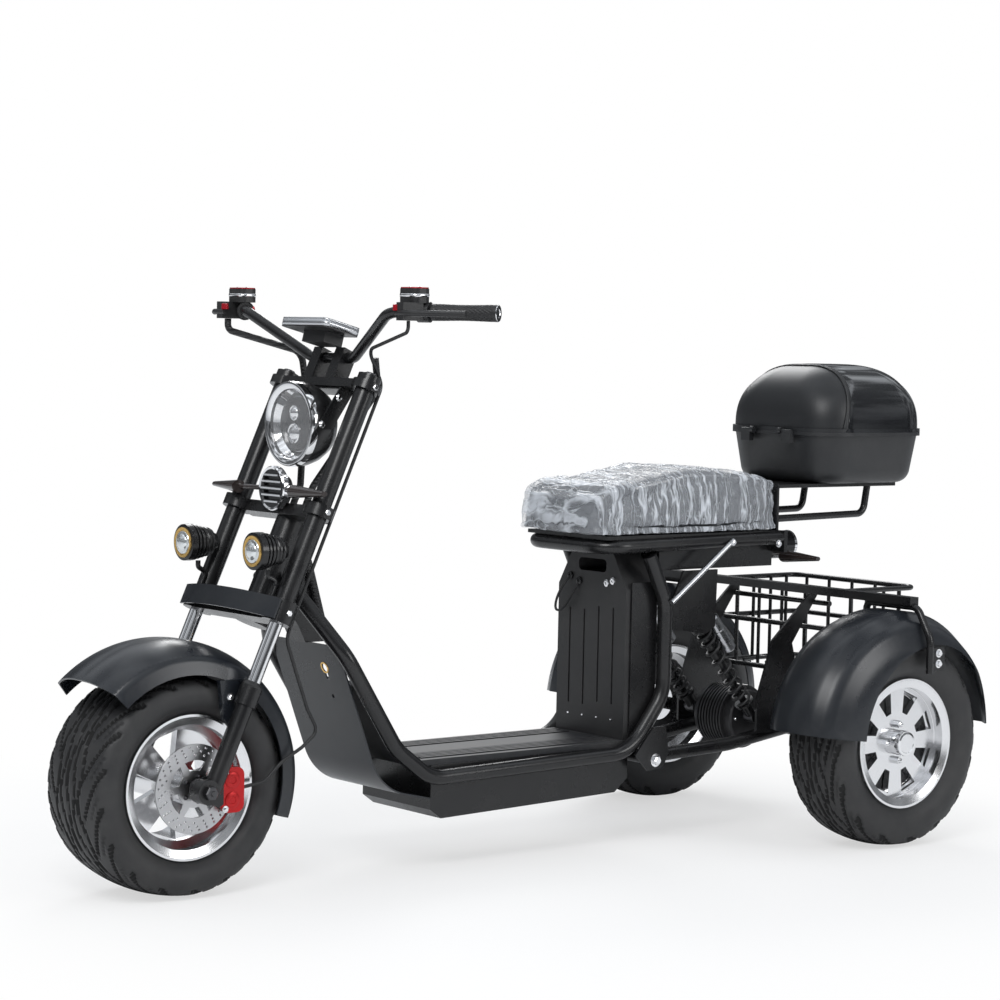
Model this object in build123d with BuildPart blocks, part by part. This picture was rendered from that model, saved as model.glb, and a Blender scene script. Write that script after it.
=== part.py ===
from build123d import *
from math import cos, radians, sin
import os

os.makedirs("parts", exist_ok=True)

# Frame: millimetres, +Z up from the ground, the trike drives towards -Y,
# its left side is +X, and the origin lies under the middle of its length.

# Wheels
WHEELBASE = 1607
REAR_AXLE_Y = 728
FRONT_AXLE_Y = REAR_AXLE_Y - WHEELBASE
HALF_TRACK = 383
FRONT_TYRE_R = 217
FRONT_TYRE_HALF = 106
REAR_TYRE_R = 229
REAR_TYRE_HALF = 80
RIM_SEAT_R = 127
RIM_LIP_R = 142
RIM_WALL = 5
FRONT_RIM_HALF = 90
REAR_RIM_HALF = 69
LIP_THICK = 6
FRONT_HUB_R = 34
AXLE_R = 8
FIT = 0.3

# Fork, in its own frame: x across, y back from the steering axis, z up along it
RAKE = 24.1
HEAD_Y = -684.5
HEAD_Z = 516.6
FORK_HALF = 142
FORK_AHEAD = 40
STANCHION_R = 14
SLIDER_R = 17.5
COLLAR_R = 22
UPPER_TUBE_R = 20
LOWER_CLAMP_H = 45
MID_CLAMP_Z = 222
MID_CLAMP_H = 24
TOP_CLAMP_Z = 492
TOP_CLAMP_H = 18
COLLAR_Z = -172
COLLAR_H = 37
STEM_R = 13
HEAD_TUBE_R = 29

# Frame and deck
TUBE_R = 16
FRAME_HALF = 134
DECK_Z = 232
DECK_THICK = 12
DECK_GAP = 0.3
DECK_BACK = 290

# Body over the rear axle
BEAM_Y = 755
BEAM_Z = 538
FENDER_THICK = 4
FENDER_R = 287

# Box on its rack
BOX_Y = 913
BOX_BOTTOM = 778
BOX_SEAM = 896
BOX_TOP = 1050
BOX_HALF_X = 180
BOX_HALF_Y = 183
BOX_WALL = 4
SEAM_GAP = 0.3

X_AXIS = (1, 0, 0)
FRONT_CENTRE = (0, FRONT_AXLE_Y, FRONT_TYRE_R)
REAR_CENTRE = (0, REAR_AXLE_Y, REAR_TYRE_R)
FORK = Plane(
    origin=(0, HEAD_Y, HEAD_Z),
    x_dir=X_AXIS,
    z_dir=(0, sin(radians(RAKE)), cos(radians(RAKE))),
)
AXLE_IN_FORK = FORK.to_local_coords(Vector(*FRONT_CENTRE))


def section_plane(centre):
    """Plane through a wheel's axis: x across the wheel, y up."""
    return Plane(origin=centre, x_dir=X_AXIS, z_dir=(0, -1, 0))


def swung_plane(centre, angle):
    """Plane through a wheel's axis whose y points at an angle from straight back, turning up."""
    turn = radians(angle)
    return Plane(origin=centre, x_dir=X_AXIS, z_dir=(0, -sin(turn), cos(turn)))


def side_plane(centre, x):
    """Plane square to a wheel's axis at x: x back, y up."""
    return Plane(origin=(x, centre[1], centre[2]), x_dir=(0, 1, 0), z_dir=X_AXIS)


def fork_points(points):
    """Points given in the fork's frame, as global ones."""
    return [FORK.from_local_coords(Vector(*point)) for point in points]


def mirrored(points):
    """The same route on the other side."""
    return [(-x, y, z) for x, y, z in points]


def bent_tube(points, radius, bends):
    """Round bar along straight runs joined by arcs."""
    with BuildPart() as tube:
        with BuildLine() as route:
            if len(points) == 2:
                Line(*points)
            else:
                FilletPolyline(*points, radius=bends)
        with BuildSketch(Plane(origin=route.line @ 0, z_dir=route.line % 0)):
            Circle(radius)
        sweep(path=route.line)
    return tube.part


def tyre(centre, half, tread_r, rim_half):
    """Tyre turned about its axle: beads inside the rim's lips, round shoulders."""
    bead_x = rim_half - LIP_THICK - FIT
    bead_r = RIM_SEAT_R + FIT
    edge_r = RIM_LIP_R + 2
    wall_r = (RIM_LIP_R + tread_r) / 2 - 4
    shoulder_x = half * 0.86
    shoulder_r = tread_r - 9
    with BuildPart() as ring:
        with BuildSketch(section_plane(centre)):
            with BuildLine():
                Polyline((-bead_x, edge_r), (-bead_x, bead_r), (bead_x, bead_r), (bead_x, edge_r))
                ThreePointArc((bead_x, edge_r), (half, wall_r), (shoulder_x, shoulder_r))
                ThreePointArc((shoulder_x, shoulder_r), (0, tread_r), (-shoulder_x, shoulder_r))
                ThreePointArc((-shoulder_x, shoulder_r), (-half, wall_r), (-bead_x, edge_r))
            make_face()
        revolve(axis=Axis(centre, X_AXIS))
    return ring.part


def rim_barrel(centre, half):
    """Rim turned about its axle: well, bead seats and lips."""
    seat_x = half - 28
    well_x = half - 40
    well_r = RIM_SEAT_R - 14
    lip_x = half - LIP_THICK
    outline = [
        (0, well_r), (well_x, well_r), (seat_x, RIM_SEAT_R), (lip_x, RIM_SEAT_R), (lip_x, RIM_LIP_R),
        (half, RIM_LIP_R), (half, RIM_LIP_R - RIM_WALL), (lip_x + 1, RIM_SEAT_R - RIM_WALL),
        (seat_x, RIM_SEAT_R - RIM_WALL), (well_x, well_r - RIM_WALL), (0, well_r - RIM_WALL),
    ]
    with BuildPart() as barrel:
        with BuildSketch(section_plane(centre)):
            with BuildLine():
                Polyline(*outline, close=True)
            make_face()
            mirror(about=Plane.YZ)
        revolve(axis=Axis(centre, X_AXIS))
    return barrel.part


# Front tyre
front_tyre_ring = tyre(FRONT_CENTRE, FRONT_TYRE_HALF, FRONT_TYRE_R, FRONT_RIM_HALF)
with BuildPart() as front_tyre:
    add(front_tyre_ring)
front_tyre.part.label = "front_tyre"
export_step(front_tyre.part, "parts/front_tyre.step")

# Front rim: barrel, five spokes and the hub that turns on the axle
FRONT_SPOKE_X = 24
FRONT_SPOKE_THICK = 18
FRONT_HUB_END = 103
front_barrel = rim_barrel(FRONT_CENTRE, FRONT_RIM_HALF)
with BuildPart() as front_rim:
    add(front_barrel)
    with BuildSketch(side_plane(FRONT_CENTRE, FRONT_SPOKE_X)):
        Circle(RIM_SEAT_R - 16)
        with PolarLocations(74, 5, start_angle=36):
            Trapezoid(66, 56, 66, rotation=90, mode=Mode.SUBTRACT)
    extrude(amount=FRONT_SPOKE_THICK)
    with BuildSketch(side_plane(FRONT_CENTRE, -FRONT_HUB_END)):
        Circle(FRONT_HUB_R)
    extrude(amount=2 * FRONT_HUB_END)
    with BuildSketch(side_plane(FRONT_CENTRE, -FRONT_HUB_END)):
        Circle(AXLE_R + FIT)
    extrude(amount=2 * FRONT_HUB_END, mode=Mode.SUBTRACT)
front_rim.part.label = "front_rim"
export_step(front_rim.part, "parts/front_rim.step")

# Brake disc on the hub's left end
DISC_X = FRONT_HUB_END
DISC_THICK = 4
DISC_R = 87.5
with BuildPart() as brake_disc:
    with BuildSketch(side_plane(FRONT_CENTRE, DISC_X)):
        Circle(DISC_R)
        Circle(AXLE_R + 2, mode=Mode.SUBTRACT)
        with PolarLocations(44, 6):
            Trapezoid(34, 18, 70, rotation=90, mode=Mode.SUBTRACT)
    extrude(amount=DISC_THICK)
brake_disc.part.label = "brake_disc"
export_step(brake_disc.part, "parts/brake_disc.step")

# Rear wheels
REAR_FACE = 40
REAR_FACE_THICK = 16
REAR_HUB_R = 44
REAR_CAP_R = 27
REAR_SHAFT_R = 15
for side, name in ((1, "left"), (-1, "right")):
    centre = (side * HALF_TRACK, REAR_AXLE_Y, REAR_TYRE_R)
    rear_ring = tyre(centre, REAR_TYRE_HALF, REAR_TYRE_R, REAR_RIM_HALF)
    with BuildPart() as rear_tyre:
        add(rear_ring)
    rear_tyre.part.label = f"rear_tyre_{name}"
    export_step(rear_tyre.part, f"parts/rear_tyre_{name}.step")
    rear_barrel = rim_barrel(centre, REAR_RIM_HALF)
    outward = Plane(origin=centre, x_dir=(0, side, 0), z_dir=(side, 0, 0))
    with BuildPart() as rear_rim:
        add(rear_barrel)
        with BuildSketch(outward.offset(REAR_FACE - REAR_FACE_THICK)):
            Circle(RIM_SEAT_R - RIM_WALL + 1)
            with PolarLocations(88, 8, start_angle=22.5):
                Trapezoid(46, 46, 72, rotation=90, mode=Mode.SUBTRACT)
        extrude(amount=REAR_FACE_THICK)
        with BuildSketch(outward.offset(-30)):
            Circle(REAR_HUB_R)
        extrude(amount=REAR_FACE + 22)
        with BuildSketch(outward.offset(REAR_FACE - 10)):
            Circle(REAR_CAP_R)
        extrude(amount=42)
        with BuildSketch(outward.offset(-30)):
            Circle(REAR_SHAFT_R + FIT)
        extrude(amount=50, mode=Mode.SUBTRACT)
    rear_rim.part.label = f"rear_rim_{name}"
    export_step(rear_rim.part, f"parts/rear_rim_{name}.step")

# Front axle: one bar through both sliders and the hub
AXLE_HALF = FORK_HALF + 24
with BuildPart() as front_axle:
    with BuildSketch(side_plane(FRONT_CENTRE, -AXLE_HALF)):
        Circle(AXLE_R)
    extrude(amount=2 * AXLE_HALF)
front_axle.part.label = "front_axle"
export_step(front_axle.part, "parts/front_axle.step")

# Fork: bright stanchions, black sliders with the axle lugs, upper tubes
with BuildPart() as stanchions:
    with BuildSketch(FORK.offset(COLLAR_Z + COLLAR_H)):
        with Locations((FORK_HALF, -FORK_AHEAD), (-FORK_HALF, -FORK_AHEAD)):
            Circle(STANCHION_R)
    extrude(amount=-COLLAR_Z - COLLAR_H)
stanchions.part.label = "stanchions"
export_step(stanchions.part, "parts/stanchions.step")

LUG_R = 24
LUG_HALF = 18
SLIDER_LOW = AXLE_IN_FORK.Z + 6
with BuildPart() as sliders:
    with BuildSketch(FORK.offset(SLIDER_LOW)):
        with Locations((FORK_HALF, -FORK_AHEAD), (-FORK_HALF, -FORK_AHEAD)):
            Circle(SLIDER_R)
    extrude(amount=COLLAR_Z - SLIDER_LOW)
    with BuildSketch(FORK.offset(COLLAR_Z)):
        with Locations((FORK_HALF, -FORK_AHEAD), (-FORK_HALF, -FORK_AHEAD)):
            Circle(COLLAR_R)
    extrude(amount=COLLAR_H)
    for x in (FORK_HALF, -FORK_HALF):
        with BuildSketch(side_plane(FRONT_CENTRE, x - LUG_HALF)):
            Circle(LUG_R)
        extrude(amount=2 * LUG_HALF)
    with BuildSketch(side_plane(FRONT_CENTRE, -AXLE_HALF)):
        Circle(AXLE_R)
    extrude(amount=2 * AXLE_HALF, mode=Mode.SUBTRACT)
sliders.part.label = "sliders"
export_step(sliders.part, "parts/sliders.step")

CAP_R = 24
CAP_H = 14
with BuildPart() as upper_tubes:
    with BuildSketch(FORK.offset(LOWER_CLAMP_H)):
        with Locations((FORK_HALF, -FORK_AHEAD), (-FORK_HALF, -FORK_AHEAD)):
            Circle(UPPER_TUBE_R)
    extrude(amount=MID_CLAMP_Z - LOWER_CLAMP_H)
    with BuildSketch(FORK.offset(MID_CLAMP_Z + MID_CLAMP_H)):
        with Locations((FORK_HALF, -FORK_AHEAD), (-FORK_HALF, -FORK_AHEAD)):
            Circle(UPPER_TUBE_R)
    extrude(amount=TOP_CLAMP_Z - MID_CLAMP_Z - MID_CLAMP_H)
    with BuildSketch(FORK.offset(TOP_CLAMP_Z + TOP_CLAMP_H)):
        with Locations((FORK_HALF, -FORK_AHEAD), (-FORK_HALF, -FORK_AHEAD)):
            Circle(CAP_R)
    extrude(amount=CAP_H)
upper_tubes.part.label = "upper_tubes"
export_step(upper_tubes.part, "parts/upper_tubes.step")

# Clamps
CLAMP_EYE_R = 30
CLAMP_DEEP = 44
STEM_SEAT_R = 36
with BuildPart() as lower_clamp:
    with BuildSketch(FORK):
        with Locations((FORK_HALF, -FORK_AHEAD), (-FORK_HALF, -FORK_AHEAD)):
            Circle(CLAMP_EYE_R)
        with Locations((0, -FORK_AHEAD)):
            Rectangle(2 * FORK_HALF, CLAMP_DEEP)
        Circle(STEM_SEAT_R)
    extrude(amount=LOWER_CLAMP_H)
lower_clamp.part.label = "lower_clamp"
export_step(lower_clamp.part, "parts/lower_clamp.step")

COVER_HALF = 168
with BuildPart() as clamp_cover:
    with BuildSketch(FORK.offset(2)):
        with BuildLine():
            ThreePointArc((-COVER_HALF, -68), (0, -95), (COVER_HALF, -68))
            Line((COVER_HALF, -68), (COVER_HALF, -64))
            ThreePointArc((COVER_HALF, -64), (0, -91), (-COVER_HALF, -64))
            Line((-COVER_HALF, -64), (-COVER_HALF, -68))
        make_face()
    extrude(amount=LOWER_CLAMP_H - 4)
clamp_cover.part.label = "clamp_cover"
export_step(clamp_cover.part, "parts/clamp_cover.step")

with BuildPart() as mid_clamp:
    with BuildSketch(FORK.offset(MID_CLAMP_Z)):
        with Locations((FORK_HALF, -FORK_AHEAD), (-FORK_HALF, -FORK_AHEAD)):
            Circle(CLAMP_EYE_R)
        with Locations((0, -20)):
            Rectangle(2 * FORK_HALF - 16, 36)
        Circle(32)
    extrude(amount=MID_CLAMP_H)
mid_clamp.part.label = "mid_clamp"
export_step(mid_clamp.part, "parts/mid_clamp.step")

with BuildPart() as stem:
    with BuildSketch(FORK.offset(LOWER_CLAMP_H)):
        Circle(STEM_R)
    extrude(amount=MID_CLAMP_Z - LOWER_CLAMP_H)
stem.part.label = "stem"
export_step(stem.part, "parts/stem.step")

# Top clamp with the handlebar's two riser blocks
BAR_R = 11
BAR_Y = -45
BAR_Z = 560
RISER_X = 38
with BuildPart() as top_clamp:
    with BuildSketch(FORK.offset(TOP_CLAMP_Z)):
        with Locations((FORK_HALF, -FORK_AHEAD), (-FORK_HALF, -FORK_AHEAD)):
            Circle(CLAMP_EYE_R)
        with Locations((0, -FORK_AHEAD)):
            Rectangle(2 * FORK_HALF, CLAMP_DEEP)
    extrude(amount=TOP_CLAMP_H)
    with BuildSketch(FORK.offset(TOP_CLAMP_Z + TOP_CLAMP_H)):
        with Locations((RISER_X, BAR_Y), (-RISER_X, BAR_Y)):
            Rectangle(30, 34)
    extrude(amount=BAR_Z - TOP_CLAMP_Z - TOP_CLAMP_H + 16)
    with BuildSketch(Plane(origin=FORK.from_local_coords(Vector(-80, BAR_Y, BAR_Z)), z_dir=X_AXIS)):
        Circle(BAR_R + FIT)
    extrude(amount=160, mode=Mode.SUBTRACT)
top_clamp.part.label = "top_clamp"
export_step(top_clamp.part, "parts/top_clamp.step")

# Handlebar: rises from the clamp, leans forward, then sweeps back inside the grips
GRIP_OUT = (440, -425, 1139)
BAR_BEND = (250, -544, 1139)
BAR_FOOT = (72, BAR_Y, BAR_Z)
grip_dir = (Vector(*GRIP_OUT) - Vector(*BAR_BEND)).normalized()
bar_half_points = [GRIP_OUT, BAR_BEND, tuple(fork_points([BAR_FOOT])[0])]
bar = bent_tube(bar_half_points + mirrored(bar_half_points)[::-1], BAR_R, 50)
with BuildPart() as handlebar:
    add(bar)
handlebar.part.label = "handlebar"
export_step(handlebar.part, "parts/handlebar.step")

# Grips: sleeves over the bar's ends
GRIP_R = 16.5
GRIP_LENGTH = 134
grip_plane = Plane(origin=Vector(*GRIP_OUT) - grip_dir * GRIP_LENGTH, z_dir=grip_dir)
with BuildPart() as grips:
    with BuildSketch(grip_plane):
        Circle(GRIP_R)
        Circle(BAR_R + FIT, mode=Mode.SUBTRACT)
    extrude(amount=GRIP_LENGTH)
    mirror(about=Plane.YZ)
grips.part.label = "grips"
export_step(grips.part, "parts/grips.step")

# Brake masters: body clamped on the bar, fluid cup on top, lever ahead of the grip
MASTER_OFF = 28
MASTER_X = 315
MASTER_LOW = 1122
CUP_LOW = 1156
CUP_H = 28
LEVER_R = 6
master_plane = Plane(origin=grip_plane.origin - grip_dir * MASTER_OFF, z_dir=grip_dir)
LEVER_ROOT = (300, -562, 1136)
LEVER_KNEE = (336, -564, 1136)
LEVER_TIP = (436, -500, 1136)
lever = bent_tube([LEVER_ROOT, LEVER_KNEE, LEVER_TIP], LEVER_R, 40)
with BuildPart() as brake_levers:
    add(lever)
    with BuildSketch(master_plane):
        Circle(BAR_R + 9)
    extrude(amount=MASTER_OFF - 4)
    with BuildSketch(Plane.XY.offset(MASTER_LOW)):
        with Locations((MASTER_X, -542)):
            Rectangle(22, 48)
    extrude(amount=CUP_LOW - MASTER_LOW + 1)
    with BuildSketch(Plane.XY.offset(CUP_LOW)):
        with Locations((300, -520)):
            RectangleRounded(56, 44, 16)
    extrude(amount=CUP_H)
    with BuildSketch(master_plane.offset(-60)):
        Circle(BAR_R + FIT)
    extrude(amount=140, mode=Mode.SUBTRACT)
    mirror(about=Plane.YZ)
brake_levers.part.label = "brake_levers"
export_step(brake_levers.part, "parts/brake_levers.step")

# Switch housings inboard of the masters
SWITCH_R = 16.5
SWITCH_OFF = 64
SWITCH_LONG = 26
switch_plane = Plane(origin=grip_plane.origin - grip_dir * SWITCH_OFF, z_dir=grip_dir)
with BuildPart() as switches:
    with BuildSketch(switch_plane):
        Circle(SWITCH_R)
        Circle(BAR_R + FIT, mode=Mode.SUBTRACT)
    extrude(amount=SWITCH_LONG)
    mirror(about=Plane.YZ)
switches.part.label = "switches"
export_step(switches.part, "parts/switches.step")

# Display: thin panel on a stalk ahead of the clamp, tipped towards the rider
DISPLAY_TILT = 14
DISPLAY_STALK = 23.2
DISPLAY_PLANE = Plane(
    origin=(0, -532, 1098), x_dir=X_AXIS,
    z_dir=(0, sin(radians(DISPLAY_TILT)), cos(radians(DISPLAY_TILT))),
)
with BuildPart() as display:
    with BuildSketch(DISPLAY_PLANE):
        RectangleRounded(158, 88, 12)
    extrude(amount=16)
    with BuildSketch(DISPLAY_PLANE):
        with Locations((0, 12)):
            Rectangle(76, 46)
    extrude(amount=-DISPLAY_STALK)
display.part.label = "display"
export_step(display.part, "parts/display.step")

# Headlight: deep bowl behind a flat face
LAMP_Y = -605
LAMP_Z = 913
LAMP_R = 86
LAMP_DEEP = 98
LAMP_RIM = 16
LAMP_BACK_R = 20
LAMP_CENTRE = (0, LAMP_Y, LAMP_Z)
LAMP_AXIS = Axis(LAMP_CENTRE, (0, 1, 0))
with BuildPart() as headlight:
    with BuildSketch(Plane(origin=LAMP_CENTRE, x_dir=(0, 1, 0), z_dir=X_AXIS)):
        with BuildLine():
            Polyline((LAMP_DEEP, LAMP_BACK_R), (LAMP_DEEP, 0), (0, 0), (0, LAMP_R), (LAMP_RIM, LAMP_R))
            ThreePointArc((LAMP_RIM, LAMP_R), (70, 62), (LAMP_DEEP, LAMP_BACK_R))
        make_face()
    revolve(axis=LAMP_AXIS)
headlight.part.label = "headlight"
export_step(headlight.part, "parts/headlight.step")

# Headlight bracket: two arms from the top clamp down to the bowl's sides
with BuildPart() as lamp_bracket:
    with BuildSketch(Plane.YZ.offset(LAMP_R + FIT)):
        with BuildLine():
            Polyline((-600, 905), (-560, 905), (-511, 975.5), (-541, 989), (-582, 930), close=True)
        make_face()
    extrude(amount=4)
    mirror(about=Plane.YZ)
    with BuildSketch(FORK.offset(TOP_CLAMP_Z - 4.3)):
        with Locations((0, -FORK_AHEAD)):
            Rectangle(2 * LAMP_R + 10, 34)
    extrude(amount=4)
lamp_bracket.part.label = "lamp_bracket"
export_step(lamp_bracket.part, "parts/lamp_bracket.step")

# Horn on the mid clamp: round body with slats across its mouth
HORN_FACE = Plane(origin=(0, -640, 785), x_dir=X_AXIS, z_dir=(0, -1, 0))
HORN_R = 44
HORN_DISC = 11
HORN_BOSS_R = 24
HORN_DEEP = 34
with BuildPart() as horn:
    with BuildSketch(HORN_FACE):
        Circle(HORN_R)
    extrude(amount=-HORN_DISC)
    with BuildSketch(HORN_FACE):
        with Locations((0, -20), (0, -7), (0, 7), (0, 20)):
            Rectangle(58, 6)
    extrude(amount=-6, mode=Mode.SUBTRACT)
    with BuildSketch(HORN_FACE.offset(-HORN_DISC)):
        Circle(HORN_BOSS_R)
    extrude(amount=HORN_DISC - HORN_DEEP)
    with BuildSketch(FORK.offset(MID_CLAMP_Z + MID_CLAMP_H + FIT)):
        with Locations((0, -30)):
            Rectangle(16, 12)
    extrude(amount=16)
horn.part.label = "horn"
export_step(horn.part, "parts/horn.step")

# Front signals: pods that point outwards, on stalks beside the horn
SIGNAL_Y = -655
SIGNAL_Z = 784
signal_stalk = bent_tube([(HORN_R + 1.5, -634.5, SIGNAL_Z), (HORN_R + 58, SIGNAL_Y + 6, SIGNAL_Z)], 5, 0)
with BuildPart() as front_signals:
    add(signal_stalk)
    with BuildSketch(Plane.YZ.offset(HORN_R + 54)):
        with Locations((SIGNAL_Y, SIGNAL_Z)):
            Ellipse(16, 13)
    with BuildSketch(Plane.YZ.offset(HORN_R + 150)):
        with Locations((SIGNAL_Y + 6, SIGNAL_Z)):
            Ellipse(7, 5)
    loft()
    mirror(about=Plane.YZ)
front_signals.part.label = "front_signals"
export_step(front_signals.part, "parts/front_signals.step")

# Fog lamps: ribbed cans on short arms from the lower clamp
FOG_X = 125
FOG_Y = -767
FOG_Z = 672
FOG_R = 37
with BuildPart() as fog_lamps:
    with BuildSketch(Plane(origin=(FOG_X, FOG_Y, FOG_Z), x_dir=(0, 1, 0), z_dir=X_AXIS)):
        with BuildLine():
            Polyline((0, 0), (0, FOG_R), (44, FOG_R), (74, 20), (74, 0), close=True)
        make_face()
    revolve(axis=Axis((FOG_X, FOG_Y, FOG_Z), (0, 1, 0)))
    mirror(about=Plane.YZ)
fog_lamps.part.label = "fog_lamps"
export_step(fog_lamps.part, "parts/fog_lamps.step")

FOG_ARM_Y = FOG_Y + 36
FOG_ARM_Z = FOG_Z - FOG_R - FIT
FOG_ARM_R = 5
fog_arm = bent_tube([(FOG_X, FOG_ARM_Y, FOG_ARM_Z), (FOG_X, FOG_ARM_Y, FOG_ARM_Z - 13),
                     *fork_points([(128, -62, 75), (128, -62, LOWER_CLAMP_H + FIT)])], FOG_ARM_R, [8, 10])
with BuildPart() as fog_arms:
    add(fog_arm)
    mirror(about=Plane.YZ)
fog_arms.part.label = "fog_arms"
export_step(fog_arms.part, "parts/fog_arms.step")

# Brake caliper over the disc's rear edge, on a plate from the axle lug
CALIPER_BACK = 78
with BuildPart() as caliper:
    with BuildSketch(side_plane(FRONT_CENTRE, DISC_X - 14)):
        with Locations((CALIPER_BACK, -6)):
            RectangleRounded(52, 92, 14)
    extrude(amount=14 - 1 + 9 + DISC_THICK)
    with BuildSketch(side_plane(FRONT_CENTRE, DISC_X - 1)):
        Circle(DISC_R + 1)
    extrude(amount=DISC_THICK + 2, mode=Mode.SUBTRACT)
caliper.part.label = "caliper"
export_step(caliper.part, "parts/caliper.step")

# Caliper bracket: plate between the slider's lug and the caliper
CALIPER_OUT = DISC_X + 8 + DISC_THICK
BRACKET_X = CALIPER_OUT + FIT
BRACKET_THICK = FORK_HALF - LUG_HALF - FIT - BRACKET_X
with BuildPart() as caliper_bracket:
    with BuildSketch(side_plane(FRONT_CENTRE, BRACKET_X)):
        with BuildLine():
            Polyline((-18, 14), (0, 22), (66, 38), (94, 34), (92, -42), (66, -44), (6, -21), (-16, -16),
                     close=True)
        make_face()
        Circle(AXLE_R + FIT, mode=Mode.SUBTRACT)
        with Locations((52, -4)):
            Circle(9, mode=Mode.SUBTRACT)
    extrude(amount=BRACKET_THICK)
caliper_bracket.part.label = "caliper_bracket"
export_step(caliper_bracket.part, "parts/caliper_bracket.step")

# Brake hose: from the left master, down behind the left fork leg, round to the caliper
HOSE_R = 3.5
HOSE_IN_FORK = [(FORK_HALF, -5.5, 520), (FORK_HALF, -5.5, -20)]
HOSE_BENDS = [14, 30, 30, 40, 60, 18, 60, 60, 30]
hose = bent_tube([(MASTER_X, -545, MASTER_LOW - FIT), (MASTER_X, -545, 1100), (150, -518, 1064), *fork_points(HOSE_IN_FORK),
                  (126, -633, 356), (124, -606, 311), (124, -643, 282), (122, -689, 257), (118, -725, 221),
                  (111, -774.7, 212)], HOSE_R, HOSE_BENDS)
with BuildPart() as brake_hose:
    add(hose)
brake_hose.part.label = "brake_hose"
export_step(brake_hose.part, "parts/brake_hose.step")

# Cable looms: one each side, from the handlebar down behind the headlight to the mid clamp
LOOM_R = 7
LOOM_END = [(22, 6, 300), (22, 6, MID_CLAMP_Z + MID_CLAMP_H + FIT)]
loom_half = [(MASTER_X, -545, 1098), (128, -486, 1056), (125, -476, 985), *fork_points(LOOM_END)]
right_loom = bent_tube([(-MASTER_X, -545, MASTER_LOW - FIT), *mirrored(loom_half)], LOOM_R, [16, 30, 40, 24])
left_loom = bent_tube([(126, -484, 1048), (124, -474, 985), *fork_points(LOOM_END)], LOOM_R, [40, 24])
with BuildPart() as cable_looms:
    add(right_loom)
    add(left_loom)
cable_looms.part.label = "cable_looms"
export_step(cable_looms.part, "parts/cable_looms.step")

# Neck: head tube and gusset
HEAD_LOW = LOWER_CLAMP_H + FIT
HEAD_TOP = MID_CLAMP_Z - FIT
NECK_HALF = 28
NECK_LOW = 476
with BuildPart() as neck:
    with BuildSketch(FORK.offset(HEAD_LOW)):
        Circle(HEAD_TUBE_R)
    extrude(amount=HEAD_TOP - HEAD_LOW)
    with BuildSketch(Plane.YZ):
        with BuildLine():
            Polyline((-640, 580), (-600, 700), (-560, 640), (-518, 500), (-518, NECK_LOW),
                     (-572, NECK_LOW), (-590, 510), close=True)
        make_face()
    extrude(amount=NECK_HALF, both=True)
    with BuildSketch(FORK.offset(HEAD_LOW)):
        Circle(STEM_R + FIT)
    extrude(amount=HEAD_TOP - HEAD_LOW, mode=Mode.SUBTRACT)
neck.part.label = "neck"
export_step(neck.part, "parts/neck.step")

# Loom down the neck's left side
NECK_LOOM_X = NECK_HALF + LOOM_R + FIT
neck_cable = bent_tube([(NECK_LOOM_X, -582, 652), (NECK_LOOM_X, -560, 590), (NECK_LOOM_X, -536, 500)], LOOM_R, 60)
with BuildPart() as neck_loom:
    add(neck_cable)
neck_loom.part.label = "neck_loom"
export_step(neck_loom.part, "parts/neck_loom.step")

# Side tubes: from the neck down, along the deck and up round the battery bay
SIDE_ROUTE = [
    (NECK_HALF + TUBE_R * 0.93, -634, 608), (FRAME_HALF, -546, 455), (FRAME_HALF, -420, 262),
    (FRAME_HALF, -330, 196), (FRAME_HALF, 205, 208), (FRAME_HALF, 300, 330),
    (FRAME_HALF, 300, 530), (FRAME_HALF, 250, 632.3),
]
SIDE_BENDS = [90, 120, 90, 110, 100, 90]
for side, name in ((1, "left"), (-1, "right")):
    route = SIDE_ROUTE if side > 0 else mirrored(SIDE_ROUTE)
    side_tube = bent_tube(route, TUBE_R, SIDE_BENDS)
    with BuildPart() as frame_tube:
        add(side_tube)
    frame_tube.part.label = f"frame_{name}"
    export_step(frame_tube.part, f"parts/frame_{name}.step")

# Deck: floor between the tubes that curves up to the neck
DECK_HALF = FRAME_HALF - TUBE_R - DECK_GAP
with BuildPart() as deck:
    with BuildSketch(Plane.YZ):
        with BuildLine():
            Polyline((-496, 400), (-405, 262))
            ThreePointArc((-405, 262), (-380, 240), (-345, DECK_Z))
            Polyline((-345, DECK_Z), (DECK_BACK, DECK_Z), (DECK_BACK, DECK_Z - DECK_THICK),
                     (-349, DECK_Z - DECK_THICK))
            ThreePointArc((-349, DECK_Z - DECK_THICK), (-388, 230), (-415, 255))
            Polyline((-415, 255), (-506, 393), (-496, 400))
        make_face()
    extrude(amount=DECK_HALF, both=True)
deck.part.label = "deck"
export_step(deck.part, "parts/deck.step")

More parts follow.
